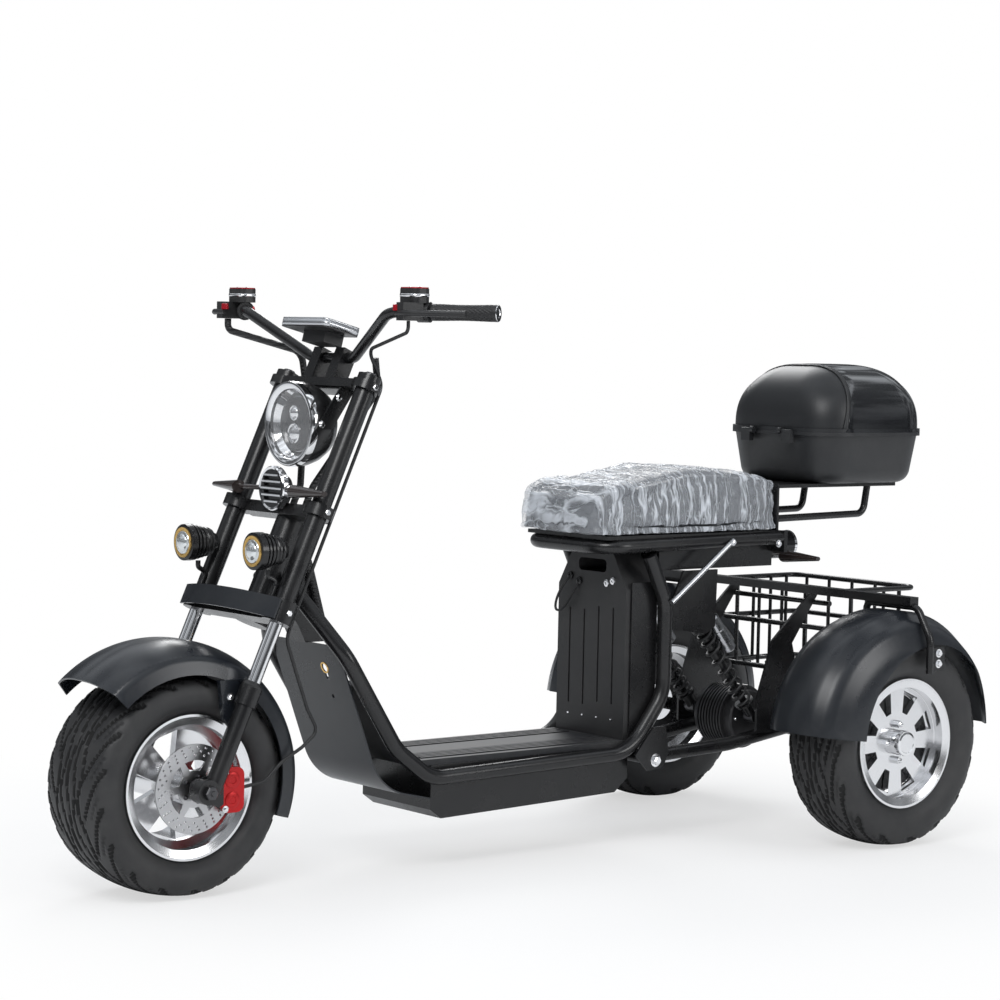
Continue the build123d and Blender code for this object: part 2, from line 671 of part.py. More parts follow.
# Leg shield: sheet from under the neck, round below the front of the deck
SHIELD_END = -318.3
SHIELD_TOP = NECK_LOW - FIT
SHIELD_TOP_HALF = 98
with BuildPart() as leg_shield:
    with BuildSketch(Plane.YZ):
        with BuildLine():
            Polyline((-536, 425), (-466, 240))
            ThreePointArc((-466, 240), (-430, 190), (-385, 168))
            Polyline((-385, 168), (SHIELD_END, 153), (SHIELD_END, 150), (-386, 165))
            ThreePointArc((-386, 165), (-432.5, 188), (-469, 239))
            Polyline((-469, 239), (-539, 424), (-536, 425))
        make_face()
    extrude(amount=DECK_HALF, both=True)
    with BuildSketch(Plane.YZ):
        with BuildLine():
            Polyline((-536, 425), (-555, SHIELD_TOP), (-558, SHIELD_TOP), (-539, 424), close=True)
        make_face()
    extrude(amount=DECK_HALF, both=True)
    for side in (1, -1):
        with BuildSketch(Plane.XZ.offset(500)):
            with BuildLine():
                Polyline((side * SHIELD_TOP_HALF, SHIELD_TOP + 10), (side * SHIELD_TOP_HALF, SHIELD_TOP),
                         (side * DECK_HALF, 436), (side * 140, 436), (side * 140, SHIELD_TOP + 10),
                         close=True)
            make_face()
        extrude(amount=120, mode=Mode.SUBTRACT)
    with BuildSketch(Plane.XZ.offset(450)):
        with Locations((50, 426)):
            Circle(9)
        with Locations((50, 412)):
            Rectangle(9, 20)
        with Locations((50, 367)):
            Circle(4)
    extrude(amount=140, mode=Mode.SUBTRACT)
leg_shield.part.label = "leg_shield"
export_step(leg_shield.part, "parts/leg_shield.step")

# Box under the deck
with BuildPart() as under_box:
    with BuildSketch(Plane.YZ):
        with BuildLine():
            Polyline((-318, DECK_Z - DECK_THICK - DECK_GAP), (-318, 128), (-290, 108), (180, 122),
                     (215, 150), (215, DECK_Z - DECK_THICK - DECK_GAP), close=True)
        make_face()
    extrude(amount=DECK_HALF, both=True)
under_box.part.label = "under_box"
export_step(under_box.part, "parts/under_box.step")

# Battery: upright case with grooves, sloped shoulders and a handle slot
BATTERY_Y = 205
BATTERY_DEEP = 78
BATTERY_HALF = 113
BATTERY_LOW = DECK_Z + DECK_GAP
BATTERY_SHOULDER = 556
BATTERY_TOP = 634
with BuildPart() as battery:
    with BuildSketch(Plane.XZ.offset(-BATTERY_Y)):
        with BuildLine():
            Polyline(
                (-BATTERY_HALF, BATTERY_LOW), (BATTERY_HALF, BATTERY_LOW),
                (BATTERY_HALF, BATTERY_SHOULDER), (68, BATTERY_TOP), (-68, BATTERY_TOP),
                (-BATTERY_HALF, BATTERY_SHOULDER), close=True,
            )
        make_face()
    extrude(amount=-BATTERY_DEEP)
    with BuildSketch(Plane.XZ.offset(-BATTERY_Y)):
        with Locations((-72, 400), (-24, 400), (24, 410), (72, 410)):
            Rectangle(5, 210)
    extrude(amount=-4, mode=Mode.SUBTRACT)
    with BuildSketch(Plane.XZ.offset(-BATTERY_Y)):
        with Locations((0, 604)):
            RectangleRounded(92, 28, 10)
    extrude(amount=-BATTERY_DEEP, mode=Mode.SUBTRACT)
battery.part.label = "battery"
export_step(battery.part, "parts/battery.step")

# Bay round the battery: side walls and a back
with BuildPart() as battery_bay:
    with BuildSketch(Plane.XY.offset(BATTERY_LOW)):
        with Locations((0, 254)):
            Rectangle(2 * DECK_HALF, 72)
        with Locations((0, 250.65)):
            Rectangle(2 * BATTERY_HALF + 0.6, 65.3, mode=Mode.SUBTRACT)
    extrude(amount=340)
battery_bay.part.label = "battery_bay"
export_step(battery_bay.part, "parts/battery_bay.step")

# Seat frame: bent rail, pan, closing plate and the shallow box under the seat
RAIL_R = 15
RAIL_FRONT = (FRAME_HALF, 125, 652)
RAIL_BACK = (FRAME_HALF, 640, 660)
PAN_Z = 668
rail = bent_tube([RAIL_BACK, RAIL_FRONT, *mirrored([RAIL_FRONT, RAIL_BACK])], RAIL_R, 60)
with BuildPart() as seat_frame:
    add(rail)
    with BuildSketch(Plane.XY.offset(PAN_Z)):
        with Locations((0, 385)):
            Rectangle(2 * FRAME_HALF, 510)
    extrude(amount=8)
    with BuildSketch(Plane.XZ.offset(-640)):
        with Locations((0, 652)):
            Rectangle(2 * FRAME_HALF + 2 * RAIL_R, 48)
    extrude(amount=-10)
    with BuildSketch(Plane.XY.offset(596)):
        with Locations((0, 470)):
            Rectangle(220, 340)
    extrude(amount=PAN_Z - 596)
seat_frame.part.label = "seat_frame"
export_step(seat_frame.part, "parts/seat_frame.step")

# Seat cushion: nose, dip and raised rear
SEAT_LOW = PAN_Z + 8.3
SEAT_BACK = 650
with BuildPart() as seat:
    with BuildSketch(Plane.YZ):
        with BuildLine():
            Polyline((93, 708), (103, SEAT_LOW), (SEAT_BACK, SEAT_LOW), (SEAT_BACK, 780))
            ThreePointArc((SEAT_BACK, 780), (500, 806), (380, 812))
            ThreePointArc((380, 812), (300, 800), (215, 783))
            ThreePointArc((215, 783), (150, 780), (103, 757))
            Line((103, 757), (93, 708))
        make_face()
    extrude(amount=142, both=True)
    with BuildSketch(Plane.XY.offset(SEAT_LOW)):
        with Locations((0, SEAT_BACK - 280)):
            RectangleRounded(284, 560, 60)
    extrude(amount=200, mode=Mode.INTERSECT)
seat.part.label = "seat"
export_step(seat.part, "parts/seat.step")

# Swing frame: pivot tube, two arms, axle housing with its shafts, upright plates
PIVOT_Y = 262
PIVOT_Z = 190
ARM_X = 108
ARM_R = 15
HOUSING_R = 24
HOUSING_HALF = 290
PLATE_X = 126.5
arm = bent_tube([(ARM_X, PIVOT_Y, PIVOT_Z), (ARM_X, 520, 200), (ARM_X, REAR_AXLE_Y, REAR_TYRE_R)], ARM_R, 300)
with BuildPart() as swing_frame:
    add(arm)
    with BuildSketch(Plane.YZ.offset(PLATE_X)):
        with BuildLine():
            Polyline((585, 222), (740, 222), (715, 330), (690, 420), (768, BEAM_Z - 9.3),
                     (742, BEAM_Z - 9.3), (630, 430), (585, 300), close=True)
        make_face()
    extrude(amount=6)
    mirror(about=Plane.YZ)
    with BuildSketch(side_plane(REAR_CENTRE, -HOUSING_HALF)):
        Circle(HOUSING_R)
    extrude(amount=2 * HOUSING_HALF)
    with BuildSketch(side_plane(REAR_CENTRE, -HALF_TRACK + 12)):
        Circle(REAR_SHAFT_R)
    extrude(amount=2 * HALF_TRACK - 24)
    with BuildSketch(Plane.YZ.offset(-FRAME_HALF - TUBE_R)):
        with Locations((PIVOT_Y, PIVOT_Z)):
            Circle(12)
    extrude(amount=2 * FRAME_HALF + 2 * TUBE_R)
swing_frame.part.label = "swing_frame"
export_step(swing_frame.part, "parts/swing_frame.step")

# Pivot brackets: plates that hang from the side tubes and hold the swing frame
with BuildPart() as pivot_brackets:
    with BuildSketch(Plane.YZ.offset(FRAME_HALF + TUBE_R + 0.3)):
        with BuildLine():
            Polyline((205, 205), (240, 168), (285, 172), (300, 205), (290, 262), (255, 262), close=True)
        make_face()
    extrude(amount=6)
    mirror(about=Plane.YZ)
pivot_brackets.part.label = "pivot_brackets"
export_step(pivot_brackets.part, "parts/pivot_brackets.step")

# Shock towers: plates behind the frame loops that carry the shocks' tops
with BuildPart() as shock_towers:
    with BuildSketch(Plane.YZ.offset(FRAME_HALF - 3)):
        with BuildLine():
            Polyline((316.3, 470), (316.3, 528), (350, 595.7), (450, 595.7), (446, 470), (420, 455),
                     close=True)
        make_face()
    extrude(amount=6)
    mirror(about=Plane.YZ)
shock_towers.part.label = "shock_towers"
export_step(shock_towers.part, "parts/shock_towers.step")

# Shock absorbers: coil, damper and eyes, from the towers to the upright plates
SHOCK_X = 98
SHOCK_TOP = (SHOCK_X, 418, 490)
SHOCK_LOW = (SHOCK_X, 604, 256)
CANISTER_OFF = (0, 37)
CANISTER_R = 17
CANISTER_LONG = 96
shock_span = Vector(*SHOCK_LOW) - Vector(*SHOCK_TOP)
shock_length = shock_span.length
shock_plane = Plane(origin=SHOCK_TOP, z_dir=shock_span.normalized())
with BuildPart() as shocks:
    with BuildSketch(shock_plane):
        Circle(12)
    extrude(amount=shock_length)
    with BuildSketch(shock_plane.offset(28)):
        Circle(22)
    extrude(amount=shock_length - 70)
    with BuildSketch(Plane.YZ.offset(SHOCK_X - 14)):
        with Locations(SHOCK_TOP[1:], SHOCK_LOW[1:]):
            Circle(14)
    extrude(amount=28)
    with BuildSketch(Plane.YZ.offset(SHOCK_X)):
        with Locations(SHOCK_TOP[1:]):
            Circle(6)
    extrude(amount=FRAME_HALF - 3.3 - SHOCK_X)
    with BuildSketch(Plane.YZ.offset(SHOCK_X)):
        with Locations(SHOCK_LOW[1:]):
            Circle(6)
    extrude(amount=PLATE_X - FIT - SHOCK_X)
    with BuildSketch(shock_plane.offset(34)):
        with Locations(CANISTER_OFF):
            Circle(CANISTER_R)
    extrude(amount=CANISTER_LONG)
    mirror(about=Plane.YZ)
shocks.part.label = "shocks"
export_step(shocks.part, "parts/shocks.step")

# Motor: round case ahead of the axle housing
MOTOR_R = 72
MOTOR_HALF = 62
MOTOR_RISE = 17
motor_ahead = ((HOUSING_R + 0.3 + MOTOR_R) ** 2 - MOTOR_RISE**2) ** 0.5
with BuildPart() as motor:
    with BuildSketch(Plane.YZ):
        with Locations((REAR_AXLE_Y - motor_ahead, REAR_TYRE_R + MOTOR_RISE)):
            Circle(MOTOR_R)
    extrude(amount=MOTOR_HALF, both=True)
motor.part.label = "motor"
export_step(motor.part, "parts/motor.step")

# Struts from the rail down to the frame loop
STRUT_R = 6
STRUT_TOP_X = FRAME_HALF + RAIL_R + STRUT_R + FIT
STRUT_LOW_X = FRAME_HALF + TUBE_R + STRUT_R + FIT
strut = bent_tube([(STRUT_TOP_X, 478, 660), (STRUT_LOW_X, 298, 530)], STRUT_R, 0)
with BuildPart() as struts:
    add(strut)
    mirror(about=Plane.YZ)
struts.part.label = "struts"
export_step(struts.part, "parts/struts.step")

# Fender beam with its hoops: each foot on a fender's shoulder, each leg down its side
FENDER_EDGE_X = 482
HOOP_R = 8
LEG_X = FENDER_EDGE_X + HOOP_R + 0.3
hoop = bent_tube([(298, BEAM_Y, 500), (298, BEAM_Y, 526), (450, BEAM_Y, 526), (LEG_X, BEAM_Y, 460),
                  (LEG_X, BEAM_Y, 385)], HOOP_R, [16, 30, 60])
with BuildPart() as fender_beam:
    add(hoop)
    with BuildSketch(Plane.YZ.offset(LEG_X - 3)):
        with Locations((BEAM_Y + 20, 415)):
            RectangleRounded(52, 52, 8)
    extrude(amount=4)
    mirror(about=Plane.YZ)
    with BuildSketch(Plane.YZ.offset(-440)):
        with Locations((BEAM_Y, BEAM_Z)):
            Rectangle(26, 18)
    extrude(amount=880)
fender_beam.part.label = "fender_beam"
export_step(fender_beam.part, "parts/fender_beam.step")

# Rear fenders: arched shells over each tyre, cut back round the outer sidewall
FENDER_START = 5
FENDER_SWEEP = 168
FENDER_INNER_X = 288
FENDER_CUT_BACK = 60
FENDER_CUT_R = 215
with BuildPart() as rear_fenders:
    with BuildSketch(swung_plane(REAR_CENTRE, FENDER_START)):
        with BuildLine():
            Polyline(
                (FENDER_INNER_X, 238), (FENDER_INNER_X + 12, 268), (340, FENDER_R), (420, FENDER_R),
                (462, 262), (FENDER_EDGE_X, 205), (FENDER_EDGE_X, 120), (FENDER_EDGE_X - FENDER_THICK, 120),
                (FENDER_EDGE_X - FENDER_THICK, 203), (459, 259), (419, FENDER_R - FENDER_THICK),
                (341, FENDER_R - FENDER_THICK), (FENDER_INNER_X + 15, 265), (FENDER_INNER_X + 4, 238),
                close=True,
            )
        make_face()
    revolve(axis=Axis(REAR_CENTRE, X_AXIS), revolution_arc=FENDER_SWEEP)
    with BuildSketch(side_plane(REAR_CENTRE, 440)):
        with Locations((FENDER_CUT_BACK, 0)):
            Circle(FENDER_CUT_R)
    extrude(amount=60, mode=Mode.SUBTRACT)
    mirror(about=Plane.YZ)
rear_fenders.part.label = "rear_fenders"
export_step(rear_fenders.part, "parts/rear_fenders.step")

# Front fender: one arched shell about its own centre, with a slanted front edge
FRONT_FENDER_R = 272
FRONT_FENDER_HALF = 116
FRONT_FENDER_START = -20
FRONT_FENDER_SWEEP = 152
FRONT_FENDER_CENTRE = (0, FRONT_AXLE_Y - 14, FRONT_TYRE_R + 9)
STAY_X = FORK_HALF - LUG_HALF - FIT
SKIRT_R = FRONT_FENDER_R - 60
CROWN_OUT = (108, FRONT_FENDER_R - 26)
CROWN_IN = (105, FRONT_FENDER_R - 29)
with BuildPart() as front_fender:
    with BuildSketch(swung_plane(FRONT_FENDER_CENTRE, FRONT_FENDER_START)):
        with BuildLine():
            ThreePointArc((0, FRONT_FENDER_R), (62, FRONT_FENDER_R - 6), CROWN_OUT)
            Polyline(CROWN_OUT, (FRONT_FENDER_HALF, SKIRT_R), (FRONT_FENDER_HALF - FENDER_THICK, SKIRT_R),
                     CROWN_IN)
            ThreePointArc(CROWN_IN, (61, FRONT_FENDER_R - 10), (0, FRONT_FENDER_R - FENDER_THICK))
            Line((0, FRONT_FENDER_R - FENDER_THICK), (0, FRONT_FENDER_R))
        make_face()
        mirror(about=Plane.YZ)
    revolve(axis=Axis(FRONT_FENDER_CENTRE, X_AXIS), revolution_arc=FRONT_FENDER_SWEEP)
    for side in (1, -1):
        with BuildSketch(Plane.YZ.offset(side * (FRONT_FENDER_HALF - FENDER_THICK))):
            with BuildLine():
                Polyline((-836, 425), (-776, 425), (-778, 345), (-800, 322), (-826, 350), close=True)
            make_face()
        extrude(amount=side * (STAY_X - FRONT_FENDER_HALF + FENDER_THICK))
    with BuildSketch(FORK.offset(COLLAR_Z - 3)):
        with Locations((FORK_HALF, -FORK_AHEAD), (-FORK_HALF, -FORK_AHEAD)):
            Circle(COLLAR_R + FIT)
    extrude(amount=COLLAR_H + 60, mode=Mode.SUBTRACT)
front_fender.part.label = "front_fender"
export_step(front_fender.part, "parts/front_fender.step")

# Cargo basket behind the axle: three rings, uprights and a floor of bars
BASKET_HALF = 195
WIRE_R = 6
BAR_WIRE_R = 4
BASKET_FRONT = BEAM_Y + 13 + WIRE_R + 0.3
BASKET_BACK = 1025
BASKET_RINGS = [BEAM_Z, 450, 344]
BASKET_MID_Y = (BASKET_FRONT + BASKET_BACK) / 2
BASKET_SPAN_Y = BASKET_BACK - BASKET_FRONT
BASKET_BEND = 30
basket_corners = [
    (BASKET_HALF, BASKET_FRONT), (BASKET_HALF, BASKET_BACK),
    (-BASKET_HALF, BASKET_BACK), (-BASKET_HALF, BASKET_FRONT),
]
UPRIGHT_Y_IN = WIRE_R + BAR_WIRE_R + FIT
FRONT_RAIL_Z = 508
with BuildPart() as basket_rings:
    for ring_z in BASKET_RINGS:
        with BuildLine() as ring_line:
            corners = [(x, y, ring_z) for x, y in basket_corners]
            FilletPolyline(*corners, radius=BASKET_BEND, close=True)
        with BuildSketch(Plane(origin=(0, BASKET_BACK, ring_z), z_dir=X_AXIS)):
            Circle(WIRE_R)
        sweep(path=ring_line.line)
    with BuildSketch(Plane.YZ.offset(-BASKET_HALF + BASKET_BEND)):
        with Locations((BASKET_FRONT, FRONT_RAIL_Z)):
            Circle(WIRE_R)
    extrude(amount=2 * (BASKET_HALF - BASKET_BEND))
basket_rings.part.label = "basket_rings"
export_step(basket_rings.part, "parts/basket_rings.step")

# Basket wires: uprights inside the rings, floor bars on the lowest one
BASKET_LOW = BASKET_RINGS[-1]
FLOOR_TOP_Z = BASKET_LOW + WIRE_R + BAR_WIRE_R + FIT
CROSS_Z = FLOOR_TOP_Z - 2 * BAR_WIRE_R - FIT
with BuildPart() as basket_wires:
    with BuildSketch(Plane.XY.offset(BASKET_LOW - WIRE_R)):
        with Locations(*[(x, BASKET_FRONT + UPRIGHT_Y_IN) for x in (-150, -75, 0, 75, 150)]):
            Circle(BAR_WIRE_R)
        with Locations(*[(x, BASKET_BACK - UPRIGHT_Y_IN) for x in (-150, -75, 0, 75, 150)]):
            Circle(BAR_WIRE_R)
        with Locations(*[(BASKET_HALF - UPRIGHT_Y_IN, y) for y in (820, 872, 928, 980)]):
            Circle(BAR_WIRE_R)
        with Locations(*[(UPRIGHT_Y_IN - BASKET_HALF, y) for y in (820, 872, 928, 980)]):
            Circle(BAR_WIRE_R)
    extrude(amount=BEAM_Z - BASKET_LOW + WIRE_R)
    with BuildSketch(Plane.XZ.offset(-BASKET_FRONT)):
        with Locations(*[(x, FLOOR_TOP_Z) for x in (-112, -37, 37, 112)]):
            Circle(BAR_WIRE_R)
    extrude(amount=-BASKET_SPAN_Y)
    with BuildSketch(Plane.YZ.offset(WIRE_R + FIT - BASKET_HALF)):
        with Locations((BASKET_MID_Y, CROSS_Z)):
            Circle(BAR_WIRE_R)
    extrude(amount=2 * (BASKET_HALF - WIRE_R - FIT))
basket_wires.part.label = "basket_wires"
export_step(basket_wires.part, "parts/basket_wires.step")

# Box rack: plate on two posts and two bent tubes behind the seat
RACK_TOP = BOX_BOTTOM - 0.3
RACK_X = 100
POST_Y = 650.3
rack_tube = bent_tube([(RACK_X, POST_Y + 2, 700), (RACK_X, 940, 706), (RACK_X, 952, RACK_TOP - 4)], 8, 24)
with BuildPart() as box_rack:
    add(rack_tube)
    with BuildSketch(Plane.XZ.offset(-POST_Y)):
        with Locations((RACK_X, (RACK_TOP + 634) / 2)):
            Rectangle(26, RACK_TOP - 634)
    extrude(amount=-6)
    mirror(about=Plane.YZ)
    with BuildSketch(Plane.XY.offset(RACK_TOP)):
        with Locations((0, 840)):
            Rectangle(230, 380)
    extrude(amount=-8)
box_rack.part.label = "box_rack"
export_step(box_rack.part, "parts/box_rack.step")

# Top box: tub and domed lid, both turned in from the seam
BOX_CORNER = 96
BASE_INSET = 6
BASE_TAPER = 10
LID_TAPER = 9
BASE_H = BOX_SEAM - BOX_BOTTOM
LID_H = BOX_TOP - BOX_SEAM - SEAM_GAP
LIP_H = 8


def box_block(z, height, inset, taper, edge_r):
    """Tapered block with a rounded plan and a rounded far edge."""
    with BuildPart() as block:
        with BuildSketch(Plane.XY.offset(z)):
            with Locations((0, BOX_Y)):
                RectangleRounded(2 * (BOX_HALF_X - inset), 2 * (BOX_HALF_Y - inset), BOX_CORNER - inset)
        extrude(amount=height, taper=taper)
        far = block.faces().sort_by(Axis.Z)[-1 if height > 0 else 0]
        fillet(far.edges(), radius=edge_r)
    return block.part


base_outer = box_block(BOX_SEAM, -BASE_H, BASE_INSET, BASE_TAPER, 34)
base_inner = box_block(BOX_SEAM, BOX_WALL - BASE_H, BASE_INSET + BOX_WALL, BASE_TAPER, 30)
with BuildPart() as box_base:
    add(base_outer)
    with BuildSketch(Plane.XY.offset(BOX_SEAM)):
        with Locations((0, BOX_Y)):
            RectangleRounded(2 * BOX_HALF_X, 2 * BOX_HALF_Y, BOX_CORNER)
    extrude(amount=-LIP_H)
    add(base_inner, mode=Mode.SUBTRACT)
box_base.part.label = "box_base"
export_step(box_base.part, "parts/box_base.step")

# Lid: its two eyes turn on pins that the lugs below hold ahead of the box
HINGE_Y = BOX_Y - BOX_HALF_Y - 9.5
HINGE_Z = BOX_SEAM + 0.5
HINGE_PIN_R = 4
HINGE_PIN_OUT = 14
HINGE_EYE_R = 8
HINGE_EYE_W = 10
HINGE_LUG_X = 66
HINGE_LUG_W = 28
EYE_X = HINGE_LUG_X - HINGE_LUG_W / 2 - HINGE_EYE_W / 2 - 2
lid_z = BOX_SEAM + SEAM_GAP
lid_outer = box_block(lid_z, LID_H, BASE_INSET, LID_TAPER, 58)
lid_inner = box_block(lid_z, LID_H - BOX_WALL, BASE_INSET + BOX_WALL, LID_TAPER, 54)
with BuildPart() as box_lid:
    add(lid_outer)
    with BuildSketch(Plane.XY.offset(lid_z)):
        with Locations((0, BOX_Y)):
            RectangleRounded(2 * BOX_HALF_X, 2 * BOX_HALF_Y, BOX_CORNER)
    extrude(amount=LIP_H)
    add(lid_inner, mode=Mode.SUBTRACT)
    for x in (EYE_X, -EYE_X):
        with BuildSketch(Plane.YZ.offset(x - HINGE_EYE_W / 2)):
            with Locations((HINGE_Y, HINGE_Z)):
                Circle(HINGE_EYE_R)
            with Locations((HINGE_Y + 5.5, lid_z + LIP_H / 2)):
                Rectangle(11, LIP_H)
            with Locations((HINGE_Y, HINGE_Z)):
                Circle(HINGE_PIN_R + FIT, mode=Mode.SUBTRACT)
        extrude(amount=HINGE_EYE_W)
box_lid.part.label = "box_lid"
export_step(box_lid.part, "parts/box_lid.step")

# Catch at the back of the box and the two lugs of its hinge at the front
LATCH_LOW = BOX_SEAM - 26
LATCH_HIGH = BOX_SEAM - 1
with BuildPart() as box_latch:
    with BuildSketch(Plane.XY.offset(LATCH_LOW)):
        with Locations((0, BOX_Y + BOX_HALF_Y + 0.3 + 5)):
            Rectangle(46, 10)
    extrude(amount=LATCH_HIGH - LATCH_LOW)
box_latch.part.label = "box_latch"
export_step(box_latch.part, "parts/box_latch.step")

with BuildPart() as box_hinges:
    with BuildSketch(Plane.XY.offset(LATCH_LOW)):
        with Locations((HINGE_LUG_X, HINGE_Y + 2.8), (-HINGE_LUG_X, HINGE_Y + 2.8)):
            Rectangle(HINGE_LUG_W, 2 * (BOX_Y - BOX_HALF_Y - FIT - HINGE_Y - 2.8))
    extrude(amount=LATCH_HIGH - LATCH_LOW)
    for x in (HINGE_LUG_X - HINGE_LUG_W / 2 - HINGE_PIN_OUT, -HINGE_LUG_X - HINGE_LUG_W / 2):
        with BuildSketch(Plane.YZ.offset(x)):
            with Locations((HINGE_Y, HINGE_Z)):
                Circle(HINGE_PIN_R)
        extrude(amount=HINGE_LUG_W + HINGE_PIN_OUT)
box_hinges.part.label = "box_hinges"
export_step(box_hinges.part, "parts/box_hinges.step")

# Tail lamp on an arm behind the seat frame, signals on a bar under the arm
LAMP_ARM_Z = 624
with BuildPart() as tail_lamp:
    with BuildSketch(Plane.XY.offset(LAMP_ARM_Z)):
        with Locations((0, 700)):
            Rectangle(24, 99.4)
    extrude(amount=10)
    with BuildSketch(Plane.XZ.offset(-735)):
        with Locations((0, 632)):
            Circle(32)
    extrude(amount=-62)
tail_lamp.part.label = "tail_lamp"
export_step(tail_lamp.part, "parts/tail_lamp.step")

with BuildPart() as rear_signals:
    with BuildSketch(Plane.YZ.offset(-80)):
        with Locations((715, LAMP_ARM_Z - 6.3)):
            Circle(6)
    extrude(amount=160)
    for side in (1, -1):
        with BuildSketch(Plane.YZ.offset(side * 78)):
            with Locations((715, LAMP_ARM_Z - 12)):
                Ellipse(22, 14)
        with BuildSketch(Plane.YZ.offset(side * 172)):
            with Locations((725, LAMP_ARM_Z - 12)):
                Ellipse(7, 5)
        loft()
rear_signals.part.label = "rear_signals"
export_step(rear_signals.part, "parts/rear_signals.step")
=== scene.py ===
import math

import bmesh
import bpy
import numpy as np
from mathutils import Matrix, Vector, noise


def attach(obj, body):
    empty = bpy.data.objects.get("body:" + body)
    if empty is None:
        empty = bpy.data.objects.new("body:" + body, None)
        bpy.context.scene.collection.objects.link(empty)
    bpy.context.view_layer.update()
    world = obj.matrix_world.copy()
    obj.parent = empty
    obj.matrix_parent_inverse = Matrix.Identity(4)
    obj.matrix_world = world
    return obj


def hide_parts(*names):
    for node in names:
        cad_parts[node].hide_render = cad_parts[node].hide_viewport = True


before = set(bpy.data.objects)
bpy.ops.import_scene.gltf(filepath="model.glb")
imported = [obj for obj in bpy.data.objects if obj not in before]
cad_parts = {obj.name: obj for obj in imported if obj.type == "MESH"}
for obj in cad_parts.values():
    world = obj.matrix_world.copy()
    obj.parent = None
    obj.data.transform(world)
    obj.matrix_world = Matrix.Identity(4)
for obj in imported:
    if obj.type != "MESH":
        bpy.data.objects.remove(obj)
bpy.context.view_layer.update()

# Studio: a long lens level with the handlebar and looking slightly down, a pale floor that fades
# into white, three soft lamps, and a cloudy sky that only gloss and metal see.
CAMERA_AT = Vector((4.5886, -3.7387, 1.0871))
CAMERA_RIGHT = Vector((0.6246, 0.7807, 0.0211))
CAMERA_UP = Vector((-0.0578, 0.0193, 0.9981))
CAMERA_BACK = Vector((0.7788, -0.6247, 0.0572))
LENS_MM = 100.03
camera_data = bpy.data.cameras.new("camera")
camera_data.lens = LENS_MM
camera_data.sensor_width = 36
camera_data.clip_end = 60
camera = bpy.data.objects.new("camera", camera_data)
turn = Matrix((CAMERA_RIGHT, CAMERA_UP, CAMERA_BACK)).transposed().to_4x4()
camera.matrix_world = Matrix.Translation(CAMERA_AT) @ turn
bpy.context.collection.objects.link(camera)
bpy.context.scene.camera = camera
bpy.context.scene.view_settings.view_transform = "Standard"


def wire(tree, source, target):
    """Joins an output socket to an input socket."""
    tree.links.new(source, target)


def dial(node, **values):
    """Sets a node's inputs by their names, with _ for a space."""
    for label, value in values.items():
        node.inputs[label.replace("_", " ")].default_value = value


def calc(tree, operation, *values):
    """One sum on sockets and plain numbers; returns its output."""
    node = tree.nodes.new("ShaderNodeMath")
    node.operation = operation
    for socket, value in zip(node.inputs, values):
        if isinstance(value, (int, float)):
            socket.default_value = value
        else:
            wire(tree, value, socket)
    return node.outputs[0]


def spread_to(tree, value, limits, results=(0.0, 1.0), smooth=False):
    """Maps a value from its limits on to the results given, straight or eased."""
    node = tree.nodes.new("ShaderNodeMapRange")
    if smooth:
        node.interpolation_type = "SMOOTHSTEP"
    dial(node, From_Min=limits[0], From_Max=limits[1], To_Min=results[0], To_Max=results[1])
    wire(tree, value, node.inputs["Value"])
    return node.outputs["Result"]


def cloud_noise(tree, vector, scale, detail, distortion=0.0):
    """Noise texture on a vector; returns its value."""
    node = tree.nodes.new("ShaderNodeTexNoise")
    dial(node, Scale=scale, Detail=detail, Distortion=distortion)
    wire(tree, vector, node.inputs["Vector"])
    return node.outputs["Fac"]


def shown_instead(tree, share, shader, other, output):
    """Mixes another shader over one by a share, into an output."""
    mix = tree.nodes.new("ShaderNodeMixShader")
    for source, socket in zip((share, shader, other), mix.inputs):
        wire(tree, source, socket)
    wire(tree, mix.outputs[0], output)


world = bpy.data.worlds.new("studio")
world.use_nodes = True
bpy.context.scene.world = world
sky_tree = world.node_tree
sky = sky_tree.nodes["Background"]
dial(sky, Color=(0.86, 0.9, 0.95, 1))
sky_way = sky_tree.nodes.new("ShaderNodeTexCoord").outputs["Generated"]
sky_split = sky_tree.nodes.new("ShaderNodeSeparateXYZ")
wire(sky_tree, sky_way, sky_split.inputs[0])
sky_rise = spread_to(sky_tree, sky_split.outputs["Z"], (0.05, 0.95), (0.14, 0.82), smooth=True)
sky_patch = spread_to(sky_tree, cloud_noise(sky_tree, sky_way, 4.5, 5), (0.44, 0.6), (0.3, 2.0))
wire(sky_tree, calc(sky_tree, "MULTIPLY", sky_rise, sky_patch), sky.inputs["Strength"])
sky_rays = sky_tree.nodes.new("ShaderNodeLightPath").outputs
sky_white = sky_tree.nodes.new("ShaderNodeBackground")
dial(sky_white, Color=(1, 1, 1, 1))
sky_seen = calc(sky_tree, "MAXIMUM", sky_rays["Is Camera Ray"], sky_rays["Is Transmission Ray"])
shown_instead(sky_tree, sky_seen, sky.outputs[0], sky_white.outputs[0],
              sky_tree.nodes["World Output"].inputs[0])

LAMPS = [
    # name, place, aimed at, size, watts
    ("key", (2.6, -3.4, 4.2), (0, -0.2, 0.4), 2.2, 125),
    ("side", (5.0, 2.4, 2.2), (0, 0.2, 0.5), 2.0, 60),
    ("back", (-3.6, 2.6, 3.4), (0, 0, 0.6), 2.2, 85),
]
for name, place, aim, size, watts in LAMPS:
    light = bpy.data.lights.new(name, "AREA")
    light.energy = watts
    light.size = size
    lamp = bpy.data.objects.new(name, light)
    away = Vector(place) - Vector(aim)
    lamp.matrix_world = Matrix.Translation(place) @ away.to_track_quat("Z", "Y").to_matrix().to_4x4()
    bpy.context.collection.objects.link(lamp)


